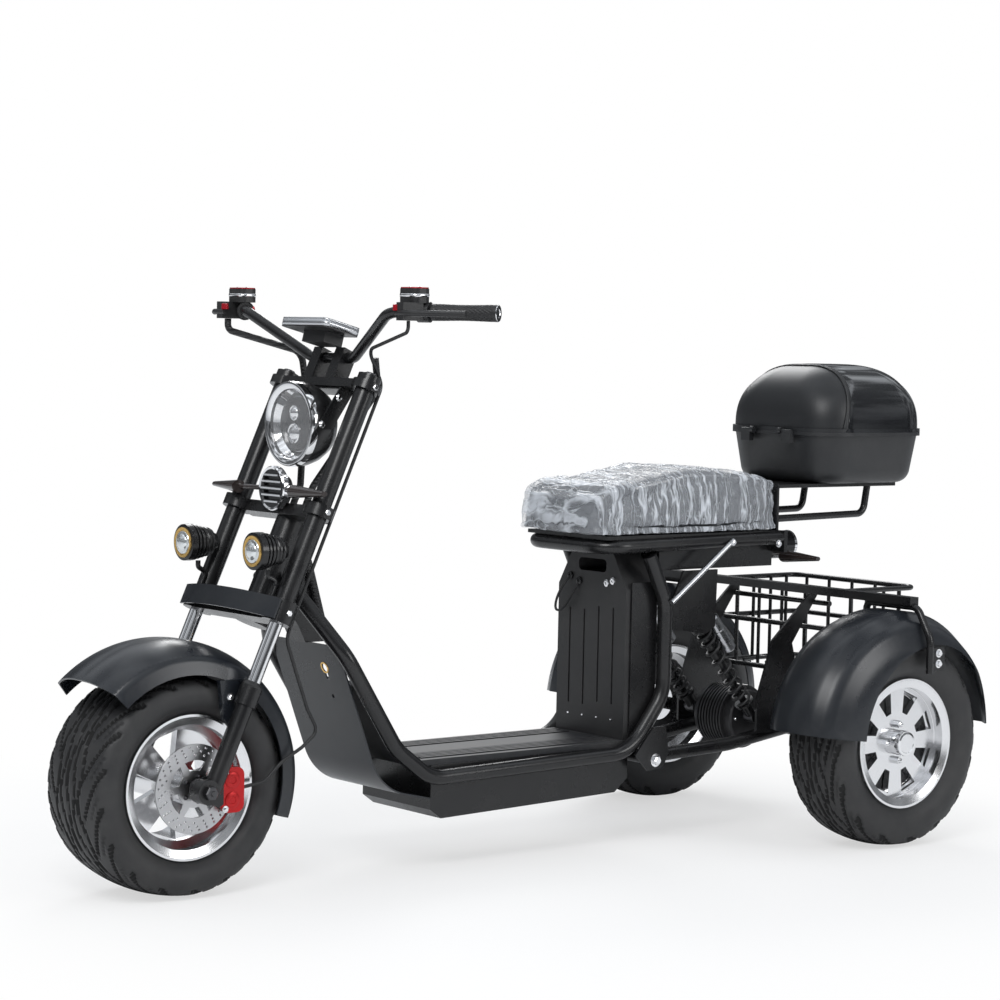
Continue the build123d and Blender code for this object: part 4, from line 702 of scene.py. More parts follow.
# Horn: a round black case with five bright bars and a bright ring round its mouth.
dress("horn", lamp_black)
HORN_AT = Vector((0, -0.640, 0.785))
horn_ring = turned("horn_ring", [(-0.012, 0.0442), (0.0, 0.0445), (0.003, 0.0425), (0.0015, 0.0385),
                                 (-0.003, 0.038), (-0.003, 0.0442)], HORN_AT, LAMP_FACING, chrome)
seat_on(horn_ring, "steering")
BLOCK = [(0, 1, 3, 2), (4, 6, 7, 5), (0, 4, 5, 1), (2, 3, 7, 6), (0, 2, 6, 4), (1, 5, 7, 3)]
for i, (rise, half) in enumerate(((-0.0265, 0.024), (-0.0135, 0.033), (0, 0.036), (0.0135, 0.033),
                                  (0.0265, 0.024))):
    corners = [HORN_AT + Vector((x, y, rise + z)) for x in (-half, half) for y in (-0.0035, -0.0005)
               for z in (-0.0018, 0.0018)]
    seat_on(mesh_piece(f"horn_bar_{i}", corners, BLOCK, False, chrome), "steering")


# Fog lamps: turned black cans with cooling fins, a gold ring and a bright stepped lens.
gold_ring = finish("gold_ring", (0.78, 0.5, 0.16), 0.26, metallic=0.85, dust=0.02, fine=300, bump=0.03)
fog_glass = finish("fog_glass", (0.74, 0.77, 0.78), 0.08, metallic=0.75, dust=0.01, fine=260, bump=0.02,
                   coat=0.6)
FOG_AT = (0.125, -0.767, 0.672)
FIN_PITCH, FIN_THICK = 0.0095, 0.0042
for n, s in SIDES:
    at = (s * FOG_AT[0], *FOG_AT[1:])
    outline = [(0.0, 0.0), (0.0, 0.0305), (-0.001, 0.0365), (-0.014, 0.037), (-0.0145, 0.033)]
    for fin in range(5):
        front = -0.0175 - fin * FIN_PITCH
        rim = 0.0365 - 0.0022 * fin
        outline += [(front, 0.029), (front, rim), (front - FIN_THICK, rim),
                    (front - FIN_THICK, 0.029 - 0.002 * fin)]
    outline += [(-0.066, 0.02), (-0.0735, 0.017), (-0.0735, 0.0)]
    can = turned(f"fog_can_{n}", outline, at, LAMP_FACING, powder_black)
    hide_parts("fog_lamps")
    seat_on(can, "steering")
    halo = turned(f"fog_ring_{n}", [(0.0, 0.0243), (0.002, 0.0248), (0.0022, 0.0302), (0.0, 0.0305)], at,
                  LAMP_FACING, gold_ring)
    seat_on(halo, "steering")
    eye = turned(f"fog_eye_{n}", [(0.0, 0.0243), (0.0025, 0.0225), (0.003, 0.0172), (0.0055, 0.0155),
                                  (0.0085, 0.009), (0.0095, 0.0)], at, LAMP_FACING, fog_glass, sides=56)
    seat_on(eye, "steering")


# Handlebar: a black tube with ribbed rubber grips, a bright plug in each end, and on each side a
# brake master with a red-topped fluid cup, its lever, and a switch housing with its buttons.
GRIP_END = Vector((0.440, -0.425, 1.139))
GRIP_LINE = Vector((0.190, 0.119, 0)).normalized()
GRIP_LONG = 0.134


def mirrored(place, side):
    """A left point or direction, or its mirror image on the right for side -1."""
    return Vector((side * place.x, place.y, place.z))


def grip_piece(name, side):
    """Sleeve with a diamond pattern, from the bar's end inwards."""
    around, along = 96, 110
    plain_end = 0.008
    line = mirrored(GRIP_LINE, side)
    spin = facing(mirrored(GRIP_END, side) - line * GRIP_LONG, line)
    points = []
    for j in range(along + 1):
        t = GRIP_LONG * j / along
        swell = 0.0165 - 0.0012 * math.sin(math.pi * t / GRIP_LONG) ** 2
        for i in range(around):
            a = math.tau * i / around
            cross = abs(math.sin(a * 8 + t * 330)) * abs(math.sin(a * 8 - t * 330))
            sunk = 0.0011 * (1 - min(1, cross * 3.2)) if plain_end < t < GRIP_LONG - plain_end else 0
            r = swell - sunk
            points.append(spin @ Vector((r * math.cos(a), r * math.sin(a), t)))
    faces = ring_faces(along + 1, around) + [tuple(reversed(range(around)))]
    return mesh_piece(name, points, faces, look=grip_rubber)


grip_rubber = finish("grip_rubber", (0.014, 0.014, 0.015), 0.5, dust=0.06, fine=700, bump=0.15)
red_gloss = finish("red_gloss", (0.42, 0.01, 0.02), 0.22, metallic=0.3, dust=0.02, fine=400, bump=0.03)
for n, s in SIDES:
    grip = grip_piece(f"grip_{n}", s)
    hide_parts("grips")
    seat_on(grip, "steering")
    plug = turned(f"grip_plug_{n}", [(-0.0005, 0.0162), (0.0008, 0.0162), (0.0015, 0.0155), (0.0015, 0.009),
                                     (0.0003, 0.0075), (0.0003, 0)],
                  mirrored(GRIP_END, s), mirrored(GRIP_LINE, s), chrome, sides=40)
    seat_on(plug, "steering")
dress("brake_levers", satin_black)
dress("switches", satin_black)

CUP_X, CUP_Y = 0.300, -0.520
for n, s in SIDES:
    top = flat_cut(f"cup_lid_{n}", [rounded_loop(0.054, 0.042, 0.015)], 0.0028,
                   Matrix.Translation((s * CUP_X, CUP_Y, 1.1852)), red_gloss)
    seat_on(top, "steering")
    band_edges = [rounded_loop(0.0575, 0.0455, 0.0168), rounded_loop(0.0555, 0.0435, 0.0158)]
    band = flat_cut(f"cup_band_{n}", band_edges, 0.006, Matrix.Translation((s * CUP_X, CUP_Y, 1.171)), chrome)
    seat_on(band, "steering")
    for k in (-1, 1):
        screw = turned(f"cup_screw_{n}_{k}", [(0, 0.003), (0.001, 0.003), (0.0014, 0.0024), (0.0014, 0)],
                       (s * CUP_X + k * 0.017, CUP_Y, 1.1866), (0, 0, 1), chrome, sides=16)
        seat_on(screw, "steering")
    knob = turned(f"lever_adjuster_{n}", [(0, 0.0075), (0.011, 0.0075), (0.012, 0.006), (0.012, 0)],
                  (s * CUP_X, -0.5625, 1.141), (0, 0, 1), red_gloss, sides=20)
    seat_on(knob, "steering")
    for k, (shift, look, size) in enumerate(((0.008, red_gloss, 0.005), (0.019, chrome, 0.0035))):
        spot = mirrored(GRIP_END, s) - mirrored(GRIP_LINE, s) * (GRIP_LONG + 0.064 - shift)
        out = Vector((-s * GRIP_LINE.y, GRIP_LINE.x, 0.25)).normalized()
        button = turned(f"switch_button_{n}_{k}", [(0, size), (0.003, size), (0.004, size * 0.8), (0.004, 0)],
                        spot + out * 0.0163, out, look, sides=24)
        seat_on(button, "steering")


# Display: a slim case with a bright frame round a black glass that stays blank.
DISPLAY_TILT = math.radians(14)
DISPLAY_AT = (0, -0.532, 1.098)
display_face = Matrix.Translation(DISPLAY_AT) @ Matrix.Rotation(-DISPLAY_TILT, 4, "X")
dress("display", satin_black)
brushed_silver = finish("brushed_silver", (0.6, 0.61, 0.63), 0.28, metallic=1, dust=0.03, fine=500, bump=0.06)
panel_glass = finish("panel_glass", (0.008, 0.009, 0.012), 0.05, dust=0.02, fine=200, bump=0.01, coat=0.5)
for part_name, edges, thick, rise, look in (
        ("display_frame", ((0.1592, 0.0892, 0.0125), (0.140, 0.068, 0.006)), 0.004, 0.0163, brushed_silver),
        ("display_edge", ((0.1594, 0.0894, 0.0127), (0.1578, 0.0878, 0.0118)), 0.012, 0.0085, brushed_silver),
        ("display_glass", ((0.1396, 0.0676, 0.0058),), 0.0012, 0.0168, panel_glass)):
    flat = flat_cut(part_name, [rounded_loop(*edge) for edge in edges], thick,
                    display_face @ Matrix.Translation((0, 0, rise)), look)
    seat_on(flat, "steering")


# Looms and hose: black rubber, the looms wound with a spiral wrap whose turns show as ridges.
def spiral_look(name, pitch_scale):
    """Black wrap with slanting ridges along the height."""
    look = finish(name, (0.014, 0.014, 0.015), 0.45, dust=0.05, fine=600, bump=0.1)
    tree = look.node_tree
    bands = tree.nodes.new("ShaderNodeTexWave")
    bands.bands_direction = "Z"
    dial(bands, Scale=pitch_scale, Distortion=0.4)
    wire(tree, tree.nodes["Texture Coordinate"].outputs["Object"], bands.inputs["Vector"])
    ridges = tree.nodes.new("ShaderNodeBump")
    dial(ridges, Strength=0.9, Distance=0.0016)
    wire(tree, bands.outputs["Fac"], ridges.inputs["Height"])
    wire(tree, tree.nodes["relief"].outputs["Normal"], ridges.inputs["Normal"])
    wire(tree, ridges.outputs["Normal"], tree.nodes["Principled BSDF"].inputs["Normal"])
    return look


spiral_wrap = spiral_look("spiral_wrap", 42)
dress("cable_looms", spiral_wrap)
dress("neck_loom", spiral_wrap)
dress("brake_hose", grip_rubber)


# Front signals: smoked lenses over dark pods. Front fender: satin black plastic with its bolts.
smoked_lens = finish("smoked_lens", (0.03, 0.022, 0.02), 0.12, dust=0.01, fine=300, bump=0.03, coat=0.6)
fender_black = finish("fender_black", (0.012, 0.0145, 0.019), 0.3, dust=0.06, fine=420, bump=0.06, cloud=5,
                      uneven=0.3)
dress("front_signals", smoked_lens)
dress("clamp_cover", fender_black)


def smooth_skin(node, name, look, angle):
    """Copy of a node's shell whose faces blend into each other, in place of the node."""
    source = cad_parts[node]
    mesh = source.data.copy()
    mesh.transform(source.matrix_world)
    mend(mesh, merge=2e-5, outward=False)
    piece = piece_from(name, mesh, look, True)
    for layer in ("custom_normal", "sharp_edge"):
        if layer in mesh.attributes:
            mesh.attributes.remove(mesh.attributes[layer])
    mesh.set_sharp_from_angle(angle=math.radians(angle))
    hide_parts(node)
    return piece


seat_on(smooth_skin("front_fender", "front_fender_skin", fender_black, 62), "steering")
seat_on(smooth_skin("rear_fenders", "rear_fender_skin", fender_black, 62), "chassis")


WASHER_THICK = 0.0012


def bolt_at(name, place, direction, body, size):
    """Hexagon bolt with a washer, seated on a face."""
    washer = turned(name + "_washer", [(0, size * 1.5), (WASHER_THICK, size * 1.5), (WASHER_THICK, 0)],
                    place, direction, chrome, sides=28)
    seat_on(washer, body)
    at = Vector(place) + Vector(direction).normalized() * WASHER_THICK
    head = turned(name, [(0, size), (size * 0.75, size), (size * 0.95, size * 0.8), (size * 0.95, 0)],
                  at, direction, chrome, sides=6, smooth=False)
    seat_on(head, body)


for n, s in SIDES:
    for k, (y, z) in enumerate(((-0.812, 0.392), (-0.790, 0.356))):
        bolt_at(f"fender_bolt_{n}_{k}", (s * 0.1238, y, z), (s, 0, 0), "steering", 0.0055)
for k, (back, up) in enumerate(((0.060, 0.030), (0.060, -0.042), (0.030, 0.015), (0.030, -0.023))):
    bolt_at(f"caliper_bolt_{k}", (0.1227, FRONT_AXLE[1] + back, FRONT_AXLE[2] + up), (1, 0, 0), "steering",
            0.0045)


# Neck and leg shield: the shield is satin sheet, its key-shaped opening edged in pale gold.
dress("neck", powder_black)
dress("leg_shield", fender_black)
key_ring = turned("shield_key_ring", [(0, 0.0085), (0.0012, 0.0088), (0.0012, 0.0122), (0, 0.0125),
                                      (0, 0.0085)],
                  (0.050, -0.5394, 0.426), (0, -0.935, -0.354), gold_ring, sides=40)
seat_on(key_ring, "chassis")


# Deck: a rubber mat with long raised ribs, from a node tree that lays them side by side.
def rib_tree():
    """Geometry Nodes tree: Count ribs, Pitch apart, each a block of one Size."""
    tree, given, result = new_tree(
        "rib_field", "GeometryNodeTree",
        (("Geometry", "Geometry", None), ("Count", "Int", 10), ("Pitch", "Float", 0.018),
         ("Size", "Vector", None), ("Finish", "Material", None)), (("Geometry", "Geometry"),))
    nodes = tree.nodes
    row = nodes.new("GeometryNodeMeshLine")
    step = nodes.new("ShaderNodeCombineXYZ")
    wire(tree, given.outputs["Pitch"], step.inputs["X"])
    wire(tree, given.outputs["Count"], row.inputs["Count"])
    wire(tree, step.outputs[0], row.inputs["Offset"])
    bar = nodes.new("GeometryNodeMeshCube")
    wire(tree, given.outputs["Size"], bar.inputs["Size"])
    copies_on(tree, row.outputs["Mesh"], bar.outputs["Mesh"], given.outputs["Finish"], result)
    return tree


RIBS = rib_tree()
mat_rubber = finish("mat_rubber", (0.016, 0.017, 0.02), 0.5, dust=0.14, fine=600, bump=0.2, cloud=7)
dress("deck", mat_rubber)
DECK_MID_Y = -0.07
for tag, start in (("left", 0.052), ("right", -0.0955)):
    ribs = made_by(RIBS, f"deck_ribs_{tag}", Matrix.Translation((start, DECK_MID_Y, 0.2331)),
                   Count=4, Pitch=0.0145, Size=(0.0075, 0.52, 0.0026), Finish=mat_rubber)
    seat_on(ribs, "chassis")
centre_pad = flat_cut("deck_centre_pad", [rounded_loop(0.078, 0.50, 0.012)], 0.0016,
                      Matrix.Translation((0, DECK_MID_Y, 0.2326)), mat_rubber)
seat_on(centre_pad, "chassis")


# Frame: side tubes, brackets, seat rails, rack, swing frame, beam and basket in one black powder
# coat. The struts between rail and frame are bare metal, and bright bolts hold what joins.
for node in ("under_box", "frame_left", "frame_right", "pivot_brackets", "shock_towers", "seat_frame",
             "swing_frame", "fender_beam", "basket_rings", "basket_wires", "box_rack"):
    dress(node, powder_black)
dress("struts", brushed_silver)
for n, s in SIDES:
    bolt_at(f"pivot_bolt_{n}", (s * 0.1563, 0.262, 0.190), (s, 0, 0), "chassis", 0.0095)
    for k, z in enumerate((0.428, 0.405)):
        bolt_at(f"leg_bolt_{n}_{k}", (s * 0.4914, 0.781, z), (s, 0, 0), "chassis", 0.0062)
    bolt_at(f"strut_bolt_{n}", (s * 0.161, 0.472, 0.656), (s, 0, 0), "chassis", 0.005)
    bolt_at(f"rail_bolt_{n}", (s * 0.1493, 0.622, 0.648), (s, 0, 0), "chassis", 0.0055)


# Battery: a grained plastic case in its bay, with a socket on its shoulder and a short cable loop.
case_black = finish("case_black", (0.02, 0.02, 0.021), 0.5, dust=0.05, fine=900, bump=0.3)
dress("battery", case_black)
dress("battery_bay", powder_black)


def wire_piece(name, points, radius, look, body, sides=5):
    """Thin round wire along a smooth line near the points."""
    curve = bpy.data.curves.new(name, "CURVE")
    curve.dimensions = "3D"
    curve.bevel_depth = radius
    curve.bevel_resolution = sides
    curve.use_fill_caps = True
    spline = curve.splines.new("NURBS")
    spline.points.add(len(points) - 1)
    for point, place in zip(spline.points, points):
        point.co = (*place, 1)
    spline.order_u = 3
    spline.use_endpoint_u = True
    spline.resolution_u = 8
    return seat_on(piece_from(name, curve_mesh(name, curve), look, True), body)


wire_piece("battery_lead", [(-0.072, 0.2045, 0.575), (-0.078, 0.190, 0.560), (-0.098, 0.184, 0.520),
                            (-0.100, 0.185, 0.495), (-0.078, 0.189, 0.500), (-0.050, 0.196, 0.545),
                            (-0.042, 0.2045, 0.566)], 0.0028, grip_rubber, "chassis")
BATTERY_FACE_Y = 0.2049
for k, (x, z) in enumerate(((-0.072, 0.575), (-0.042, 0.566), (0.050, 0.568), (0.070, 0.574))):
    socket = turned(f"battery_socket_{k}", [(0, 0.0085), (0.003, 0.0085), (0.004, 0.007), (0.004, 0.0045),
                                            (0.002, 0.004), (0.002, 0)], (x, BATTERY_FACE_Y, z), (0, -1, 0),
                    lamp_black if x < 0 else chrome, sides=24)
    seat_on(socket, "chassis")
for k, x in enumerate((-0.072, -0.024, 0.024, 0.072)):
    stud = turned(f"battery_stud_{k}", [(0, 0.0028), (0.0012, 0.0026), (0.0018, 0)],
                  (x, BATTERY_FACE_Y, 0.272), (0, -1, 0), chrome, sides=14)
    seat_on(stud, "chassis")


# Seat: foam under black vinyl, swelled by a cloth simulation, then sewn channels pressed in.
# The new seat is still in its clear plastic film: one wrinkled sheet gathered round it.
SETTLE_FRAMES = 20
HELD_HIGH = 0.014


def cushion(node, name, look, voxel, shrink, cap, pressure=4.0):
    """Padded piece from a node's shape: remeshed, swelled by pressure, its underside held flat."""
    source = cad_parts[node]
    mesh = source.data.copy()
    mesh.transform(source.matrix_world)
    piece = piece_from(name, mesh)
    thin = piece.modifiers.new("thin", "DISPLACE")
    thin.strength = -shrink
    thin.mid_level = 0
    even = piece.modifiers.new("even", "REMESH")
    even.mode = "VOXEL"
    even.voxel_size = voxel
    made = as_shown(piece)
    piece.modifiers.clear()
    piece.data = made
    low = min(v.co.z for v in made.vertices)
    before = np.array([v.co[:] for v in made.vertices])
    held = piece.vertex_groups.new(name="held")
    held.add([v.index for v in made.vertices if v.co.z < low + HELD_HIGH], 1.0, "REPLACE")
    cloth = piece.modifiers.new("cloth", "CLOTH")
    cloth.settings.use_pressure = True
    cloth.settings.uniform_pressure_force = pressure
    cloth.settings.effector_weights.gravity = 0
    cloth.settings.vertex_group_mass = "held"
    cloth.point_cache.frame_start = 1
    cloth.point_cache.frame_end = SETTLE_FRAMES
    for frame_number in range(1, SETTLE_FRAMES + 1):
        bpy.context.scene.frame_set(frame_number)
    swelled = as_shown(piece)
    bpy.context.scene.frame_set(1)
    piece.modifiers.clear()
    after = np.array([v.co[:] for v in swelled.vertices])
    move = after - before
    size = np.linalg.norm(move, axis=1, keepdims=True)
    move *= np.minimum(1, cap / np.maximum(size, 1e-9))
    made.vertices.foreach_set("co", (before + move).reshape(-1))
    made.update()
    for polygon in made.polygons:
        polygon.use_smooth = True
    made.materials.clear()
    made.materials.append(look)
    return piece


def press_channels(piece, lines, half, depth):
    """Sinks sewn channels into a cushion: lines are (axis, place) pairs on its upper faces."""
    mesh = piece.data
    mesh.update()
    normals = np.array([v.normal[:] for v in mesh.vertices])
    points = np.array([v.co[:] for v in mesh.vertices])
    sunk = np.zeros(len(points))
    for axis, place in lines:
        near = np.abs(points[:, axis] - place)
        sunk = np.maximum(sunk, depth * np.exp(-((near / half) ** 2)))
    sunk *= normals[:, 2] > -0.3
    mesh.vertices.foreach_set("co", (points - normals * sunk[:, None]).reshape(-1))
    mesh.update()


seat_vinyl = finish("seat_vinyl", (0.02, 0.022, 0.026), 0.42, dust=0.03, fine=1500, bump=0.25, cloud=12)
cushion_piece = cushion("seat", "seat_cushion", seat_vinyl, voxel=0.006, shrink=0.007, cap=0.008)
press_channels(cushion_piece, [(1, 0.215), (1, 0.470), (1, 0.560)], half=0.0035, depth=0.0045)
smoother = cushion_piece.modifiers.new("smoother", "SUBSURF")
smoother.levels = 1
smoother.render_levels = 1
fine_mesh = as_shown(cushion_piece)
cushion_piece.modifiers.clear()
cushion_piece.data = fine_mesh
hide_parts("seat")
seat_on(cushion_piece, "chassis")


def film_look(name):
    """Clear thin plastic: see-through and glossy, with white streaks along its creases painted as highlights.
    """
    look = bpy.data.materials.new(name)
    look.use_nodes = True
    tree = look.node_tree
    shader = tree.nodes["Principled BSDF"]
    dial(shader, Base_Color=(0.86, 0.9, 0.96, 1), Roughness=0.14)
    place = tree.nodes.new("ShaderNodeTexCoord")
    crease_glint_lines = None
    for scale, turn_by, size, thin, twist in (((2, 46, 4), (0.85, 0.1, 0.15), 0.9, 0.05, 0.15),
                                              ((3, 34, 5), (0.45, 0.15, -0.25), 0.8, 0.035, 0.2),
                                              ((6, 20, 9), (-0.5, 0.3, 0.4), 1.3, 0.016, 0.5)):
        stretch = tree.nodes.new("ShaderNodeMapping")
        dial(stretch, Scale=scale, Rotation=turn_by)
        wire(tree, place.outputs["Object"], stretch.inputs["Vector"])
        crease = cloud_noise(tree, stretch.outputs[0], size, 2.5, twist)
        near = calc(tree, "ABSOLUTE", calc(tree, "SUBTRACT", crease, 0.5))
        line = spread_to(tree, near, (thin, 0.0), smooth=True)
        crease_glint_lines = line if crease_glint_lines is None else calc(tree, "MAXIMUM", crease_glint_lines, line)
    # Along the creases the film turns more opaque in its pale colour: painted highlights. The same lines also
    # give the bump.
    wire(tree, spread_to(tree, crease_glint_lines, (0.0, 1.0), (0.24, 0.72)), shader.inputs["Alpha"])
    relief = tree.nodes.new("ShaderNodeBump")
    dial(relief, Strength=0.9, Distance=0.005)
    wire(tree, crease_glint_lines, relief.inputs["Height"])
    wire(tree, relief.outputs["Normal"], shader.inputs["Normal"])
    return look


NOSE_Y, NOSE_PUFF = 0.16, 0.004
FILM_LEAST = 0.0018


def wrinkled_film(name, under, offset, depth, look):
    """Open sheet over a cushion's top and sides, creased by two slanting ridge patterns."""
    shape = bmesh.new()
    shape.from_mesh(under.data)
    low = min(v.co.z for v in shape.verts)
    below = [f for f in shape.faces if f.normal.z < -0.55 and f.calc_center_median().z < low + 0.02]
    bmesh.ops.delete(shape, geom=below, context="FACES")
    shape.normal_update()
    moves = []
    for vert in shape.verts:
        x, y, z = vert.co
        slant = Vector((x * 9, (y - 0.9 * z) * 24, (z + 0.35 * y) * 8))
        cross = Vector(((x + y) * 21, (y + 0.6 * z) * 15, (z - x) * 19 + 4))
        ridge = noise.ridged_multi_fractal(slant, 0.9, 2.1, 4, 1.0, 2.0) - 0.9
        ridge += 0.6 * (noise.ridged_multi_fractal(cross, 0.9, 2.1, 4, 1.0, 2.0) - 0.9)
        puff = NOSE_PUFF if y < NOSE_Y else 0.0
        hem = 0.35 + 0.65 * min(1, (z - low) / 0.03)
        moves.append(offset + puff * hem + depth * hem * max(-0.55, min(0.9, ridge)))
    for vert, move in zip(shape.verts, moves):
        vert.co += vert.normal * max(FILM_LEAST, move)
    mesh = bpy.data.meshes.new(name)
    shape.to_mesh(mesh)
    shape.free()
    return piece_from(name, mesh, look, True)


film = wrinkled_film("seat_film", cushion_piece, offset=0.0045, depth=0.0042, look=film_look("clear_film"))
seat_on(film, "chassis")


# Shock absorbers: black coil over a damper, bright eyes at both ends, a silver canister beside it.
SHOCK_TOP = Vector((0.098, 0.418, 0.490))
SHOCK_LOW = Vector((0.098, 0.604, 0.256))


def coil(name, start, end, radius, wire_r, turns, look, body):
    """Spring between two points, its end turns laid closer."""
    count = turns * 20
    axis = (end - start).normalized()
    side = axis.cross(Vector((1, 0, 0))).normalized()
    other = axis.cross(side)
    points = []
    for i in range(count + 1):
        t = i / count
        eased = t - 0.045 * math.sin(math.tau * t)
        a = math.tau * turns * t
        points.append(start + (end - start) * eased + (side * math.cos(a) + other * math.sin(a)) * radius)
    return wire_piece(name, points, wire_r, look, body, sides=3)


for n, s in SIDES:
    top, low = mirrored(SHOCK_TOP, s), mirrored(SHOCK_LOW, s)
    line = (low - top).normalized()
    length = (low - top).length
    damper = turned(f"shock_damper_{n}", [
        (0, 0.0), (0, 0.011), (0.026, 0.012), (0.028, 0.0225), (0.033, 0.0225), (0.034, 0.0125),
        (0.12, 0.0125), (0.121, 0.008), (length - 0.045, 0.008), (length - 0.044, 0.0225),
        (length - 0.039, 0.0225), (length - 0.038, 0.013), (length, 0.012), (length, 0.0)],
        top, line, powder_black, sides=40)
    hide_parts("shocks")
    seat_on(damper, "chassis")
    coil(f"shock_coil_{n}", top + line * 0.037, top + line * (length - 0.048), radius=0.0178, wire_r=0.0036,
         turns=9, look=satin_black, body="chassis")
    for tag, spot, reach in (("top", top, 0.0327), ("low", low, 0.0282)):
        eye = turned(f"shock_eye_{tag}_{n}", [(-0.014, 0.006), (-0.014, 0.0138), (0.014, 0.0138),
                                              (0.014, 0.006), (reach, 0.006), (reach, 0.0)],
                     spot, (s, 0, 0), dark_steel, sides=32)
        seat_on(eye, "chassis")
        bolt_at(f"shock_bolt_{tag}_{n}", spot - Vector((s * 0.0145, 0, 0)), (-s, 0, 0), "chassis", 0.006)
    offset = line.cross(Vector((1, 0, 0))).normalized()
    offset = offset if offset.z > 0 else -offset
    can_at = top + line * 0.034 + offset * 0.037
    canister = turned(f"shock_canister_{n}", [(0, 0), (0, 0.0135), (0.003, 0.0165), (0.03, 0.0165),
                                              (0.031, 0.0152), (0.036, 0.0152), (0.037, 0.0165),
                                              (0.093, 0.0165), (0.096, 0.0135), (0.096, 0)],
                      can_at, line, brushed_silver, sides=40)
    seat_on(canister, "chassis")
    wire_piece(f"shock_pipe_{n}", [can_at, can_at - line * 0.012 + offset * -0.01,
                                   top + line * 0.012 + offset * 0.006],
               0.004, dark_steel, "chassis")


# Motor: cast case with cooling fins, its side covers held by a ring of screws.
MOTOR = Vector((0, 0.6332, 0.246))
cast_dark = finish("cast_dark", (0.05, 0.05, 0.053), 0.45, metallic=0.7, dust=0.1, fine=380, bump=0.35)
fins = [(-0.062, 0.0), (-0.062, 0.058), (-0.058, 0.062), (-0.044, 0.062)]
for k in range(9):
    at = -0.042 + k * 0.0094
    fins += [(at, 0.0632), (at, 0.0718), (at + 0.0045, 0.0718), (at + 0.0045, 0.0632)]
fins += [(0.044, 0.062), (0.058, 0.062), (0.062, 0.058), (0.062, 0.0)]
motor_case = turned("motor_case", fins, MOTOR, (1, 0, 0), cast_dark, sides=96)
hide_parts("motor")
seat_on(motor_case, "chassis")
for n, s in SIDES:
    screws = made_by(NUTS, f"motor_screws_{n}", facing(MOTOR + Vector((s * 0.0628, 0, 0)), (s, 0, 0)),
                     Count=6, Ring_Radius=0.048, Nut_Radius=0.0042, Nut_Height=0.003, Finish=chrome)
    seat_on(screws, "chassis")


# Top box: grained tub; the lid is matte ahead of a slanting edge and glossy behind it. Red catch.
tub_plastic = finish("tub_plastic", (0.018, 0.019, 0.021), 0.44, dust=0.05, fine=1200, bump=0.3)
dress("box_base", tub_plastic)
dress("box_hinges", tub_plastic)


def two_tone_look(name, edge_y, lean):
    """Lid plastic: roughness and colour change across one slanting line."""
    look = finish(name, (0.014, 0.015, 0.017), 0.4, dust=0.02, fine=900, bump=0.1, coat=0.0)
    tree = look.node_tree
    shader = tree.nodes["Principled BSDF"]
    split = tree.nodes.new("ShaderNodeSeparateXYZ")
    wire(tree, tree.nodes["Texture Coordinate"].outputs["Object"], split.inputs[0])
    slant = calc(tree, "MULTIPLY_ADD", split.outputs["Z"], -lean, split.outputs["Y"])
    behind = calc(tree, "GREATER_THAN", slant, edge_y)
    wire(tree, behind, shader.inputs["Coat Weight"])
    wire(tree, spread_to(tree, behind, (0.0, 1.0), (0.42, 0.03)), shader.inputs["Roughness"])
    return look


LID_LEAN = 0.25
LID_EDGE_Y = 0.800 - LID_LEAN * 0.9
LID_LOW, LID_HIGH = 0.8963, 1.050
LID_HALF_X, LID_HALF_Y = 0.174, 0.177
LIP_HIGH = 0.008
LID_WALL = 0.004
DOME_STEPS, DOME_POWER, DOME_TOP = 24, 2.5, 0.12
BOX_MID_Y = 0.913
HINGE_Y, HINGE_Z = 0.7205, 0.8965


def lofted(name, rows, look):
    """Skin through level rounded loops, from (height, half x, half y, corner) rows; the last is closed."""
    points = []
    for z, half_x, half_y, corner in rows:
        loop = rounded_loop(2 * half_x, 2 * half_y, corner, 14)
        points += [(x, BOX_MID_Y + y, z) for x, y in loop]
    count = len(loop)
    faces = ring_faces(len(rows), count) + [tuple(range((len(rows) - 1) * count, len(rows) * count))]
    piece = mesh_piece(name, points, faces, look=look)
    piece.data.set_sharp_from_angle(angle=math.radians(38))
    return piece


def lid_rows(inset):
    """Rows of the dome, from its lip up; an inset gives the inner skin."""
    rows = []
    low, high = LID_LOW, LID_HIGH - inset
    if not inset:
        low += LIP_HIGH
        rows = [(LID_LOW, 0.172, 0.175, 0.088), (LID_LOW, 0.180, 0.183, 0.096), (low, 0.180, 0.183, 0.096),
                (low, LID_HALF_X, LID_HALF_Y, 0.09)]
    for i in range(DOME_STEPS + 1):
        h = math.sin(math.pi / 2 * i / DOME_STEPS)
        share = DOME_TOP + (1 - DOME_TOP) * max(0.0, 1 - h**DOME_POWER) ** (1 / DOME_POWER)
        half_x = max(0.012, (LID_HALF_X - inset) * share)
        half_y = max(0.014, (LID_HALF_Y - inset) * share)
        rows.append((low + (high - low) * h, half_x, half_y, min(0.09, half_x * 0.62)))
    return rows


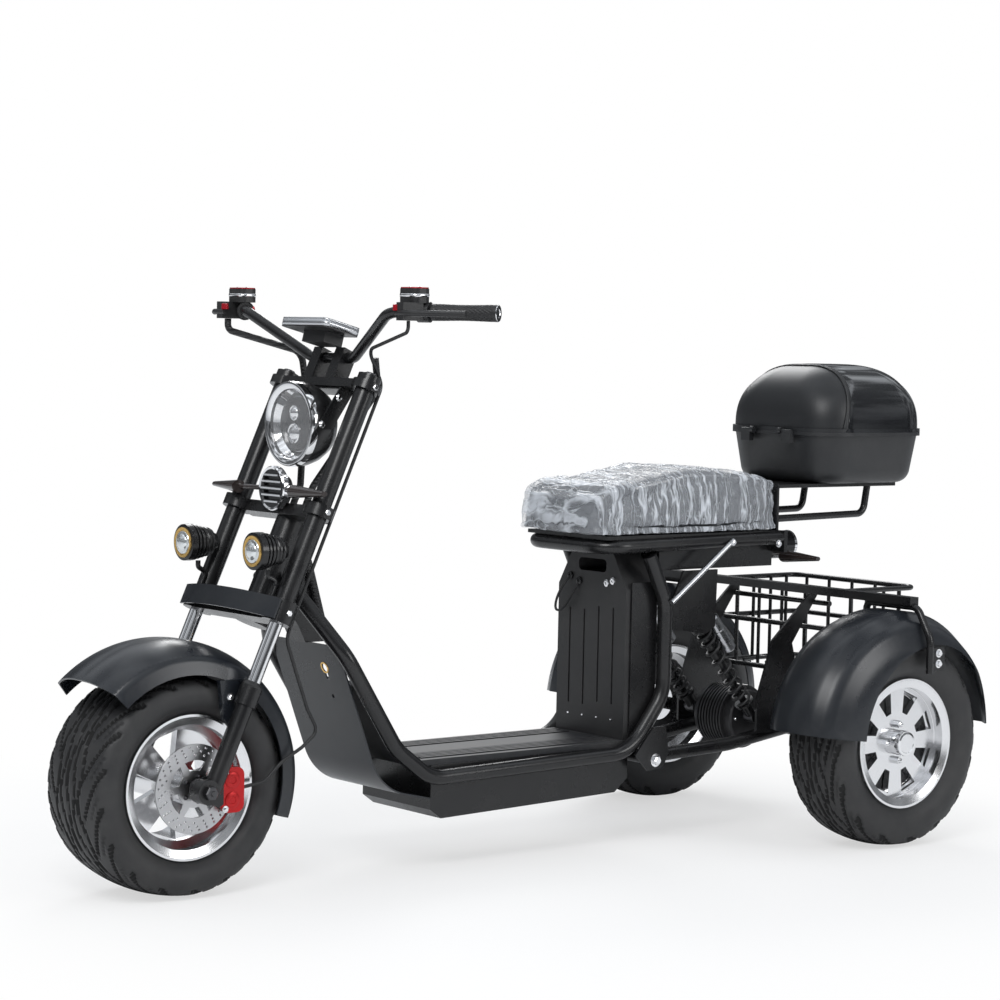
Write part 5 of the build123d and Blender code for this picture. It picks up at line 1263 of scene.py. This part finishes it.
lid_shell = lofted("lid_shell", lid_rows(0.0), two_tone_look("lid_plastic", LID_EDGE_Y, LID_LEAN))
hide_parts("box_lid")
seat_on(lid_shell, "box_lid")
lid_inside = lofted("lid_inside", lid_rows(LID_WALL), tub_plastic)
seat_on(lid_inside, "box_lid")
for s in (1, -1):
    eye = turned(f"lid_eye_{s + 1}", [(-0.005, 0.0043), (-0.005, 0.008), (0.005, 0.008), (0.005, 0.0043),
                                      (-0.005, 0.0043)],
                 (s * 0.045, HINGE_Y, HINGE_Z), (s, 0, 0), tub_plastic, sides=32)
    seat_on(eye, "box_lid")
    ear_edge = ((0.727, 0.8968), (0.735, 0.8968), (0.735, 0.9040), (0.7235, 0.9040))
    corners = [(s * 0.045 + a, y, z) for a in (-0.005, 0.005) for y, z in ear_edge]
    ear = mesh_piece(f"lid_ear_{s + 1}", corners,
                     [(0, 1, 2, 3), (7, 6, 5, 4), (0, 4, 5, 1), (1, 5, 6, 2), (2, 6, 7, 3), (3, 7, 4, 0)],
                     False, tub_plastic)
    seat_on(ear, "box_lid")


def edge_strip(source, name, edge_y, lean, wide, lift, look):
    """Raised strip over a dome along the slanting line where its two finishes meet."""
    shape = bmesh.new()
    shape.from_mesh(source.data)
    for keep, at in ((1, edge_y - wide / 2), (-1, edge_y + wide / 2)):
        everything = shape.verts[:] + shape.edges[:] + shape.faces[:]
        bmesh.ops.bisect_plane(shape, geom=everything, plane_co=(0, at, 0), plane_no=(0, -keep, lean * keep),
                               clear_outer=True, dist=1e-6)
    shape.normal_update()
    lowest = LID_LOW + LIP_HIGH + 0.001
    under = [f for f in shape.faces if f.normal.z < -0.5 or f.calc_center_median().z < lowest]
    bmesh.ops.delete(shape, geom=under, context="FACES")
    bmesh.ops.solidify(shape, geom=shape.faces[:], thickness=-lift)
    bmesh.ops.recalc_face_normals(shape, faces=shape.faces)
    mesh = bpy.data.meshes.new(name)
    shape.to_mesh(mesh)
    shape.free()
    return piece_from(name, mesh, look)


lid_edge = edge_strip(lid_shell, "lid_edge_strip", LID_EDGE_Y, LID_LEAN, wide=0.010, lift=0.0026,
                      look=tub_plastic)
seat_on(lid_edge, "box_lid")
catch_red = finish("catch_red", (0.62, 0.02, 0.02), 0.35, dust=0.02, fine=500, bump=0.05)
dress("box_latch", catch_red)


# Rear lights: a red tail lamp in a black cup with a bright rim, and smoked signals beside it.
dress("rear_signals", smoked_lens)
dress("tail_lamp", lamp_black)
red_lens = finish("red_lens", (0.35, 0.01, 0.012), 0.1, dust=0.01, fine=300, bump=0.03, coat=0.8)
TAIL_AT = (0, 0.797, 0.632)
tail = turned("tail_lens", [(0, 0.0285), (0.002, 0.0285), (0.004, 0.022), (0.0052, 0.011), (0.0056, 0)],
              TAIL_AT, (0, 1, 0), red_lens, sides=56)
seat_on(tail, "chassis")
tail_rim = turned("tail_rim", [(-0.006, 0.0322), (0.001, 0.0326), (0.0025, 0.031), (0.0005, 0.0285),
                               (-0.006, 0.0322)], TAIL_AT, (0, 1, 0), chrome, sides=64)
seat_on(tail_rim, "chassis")
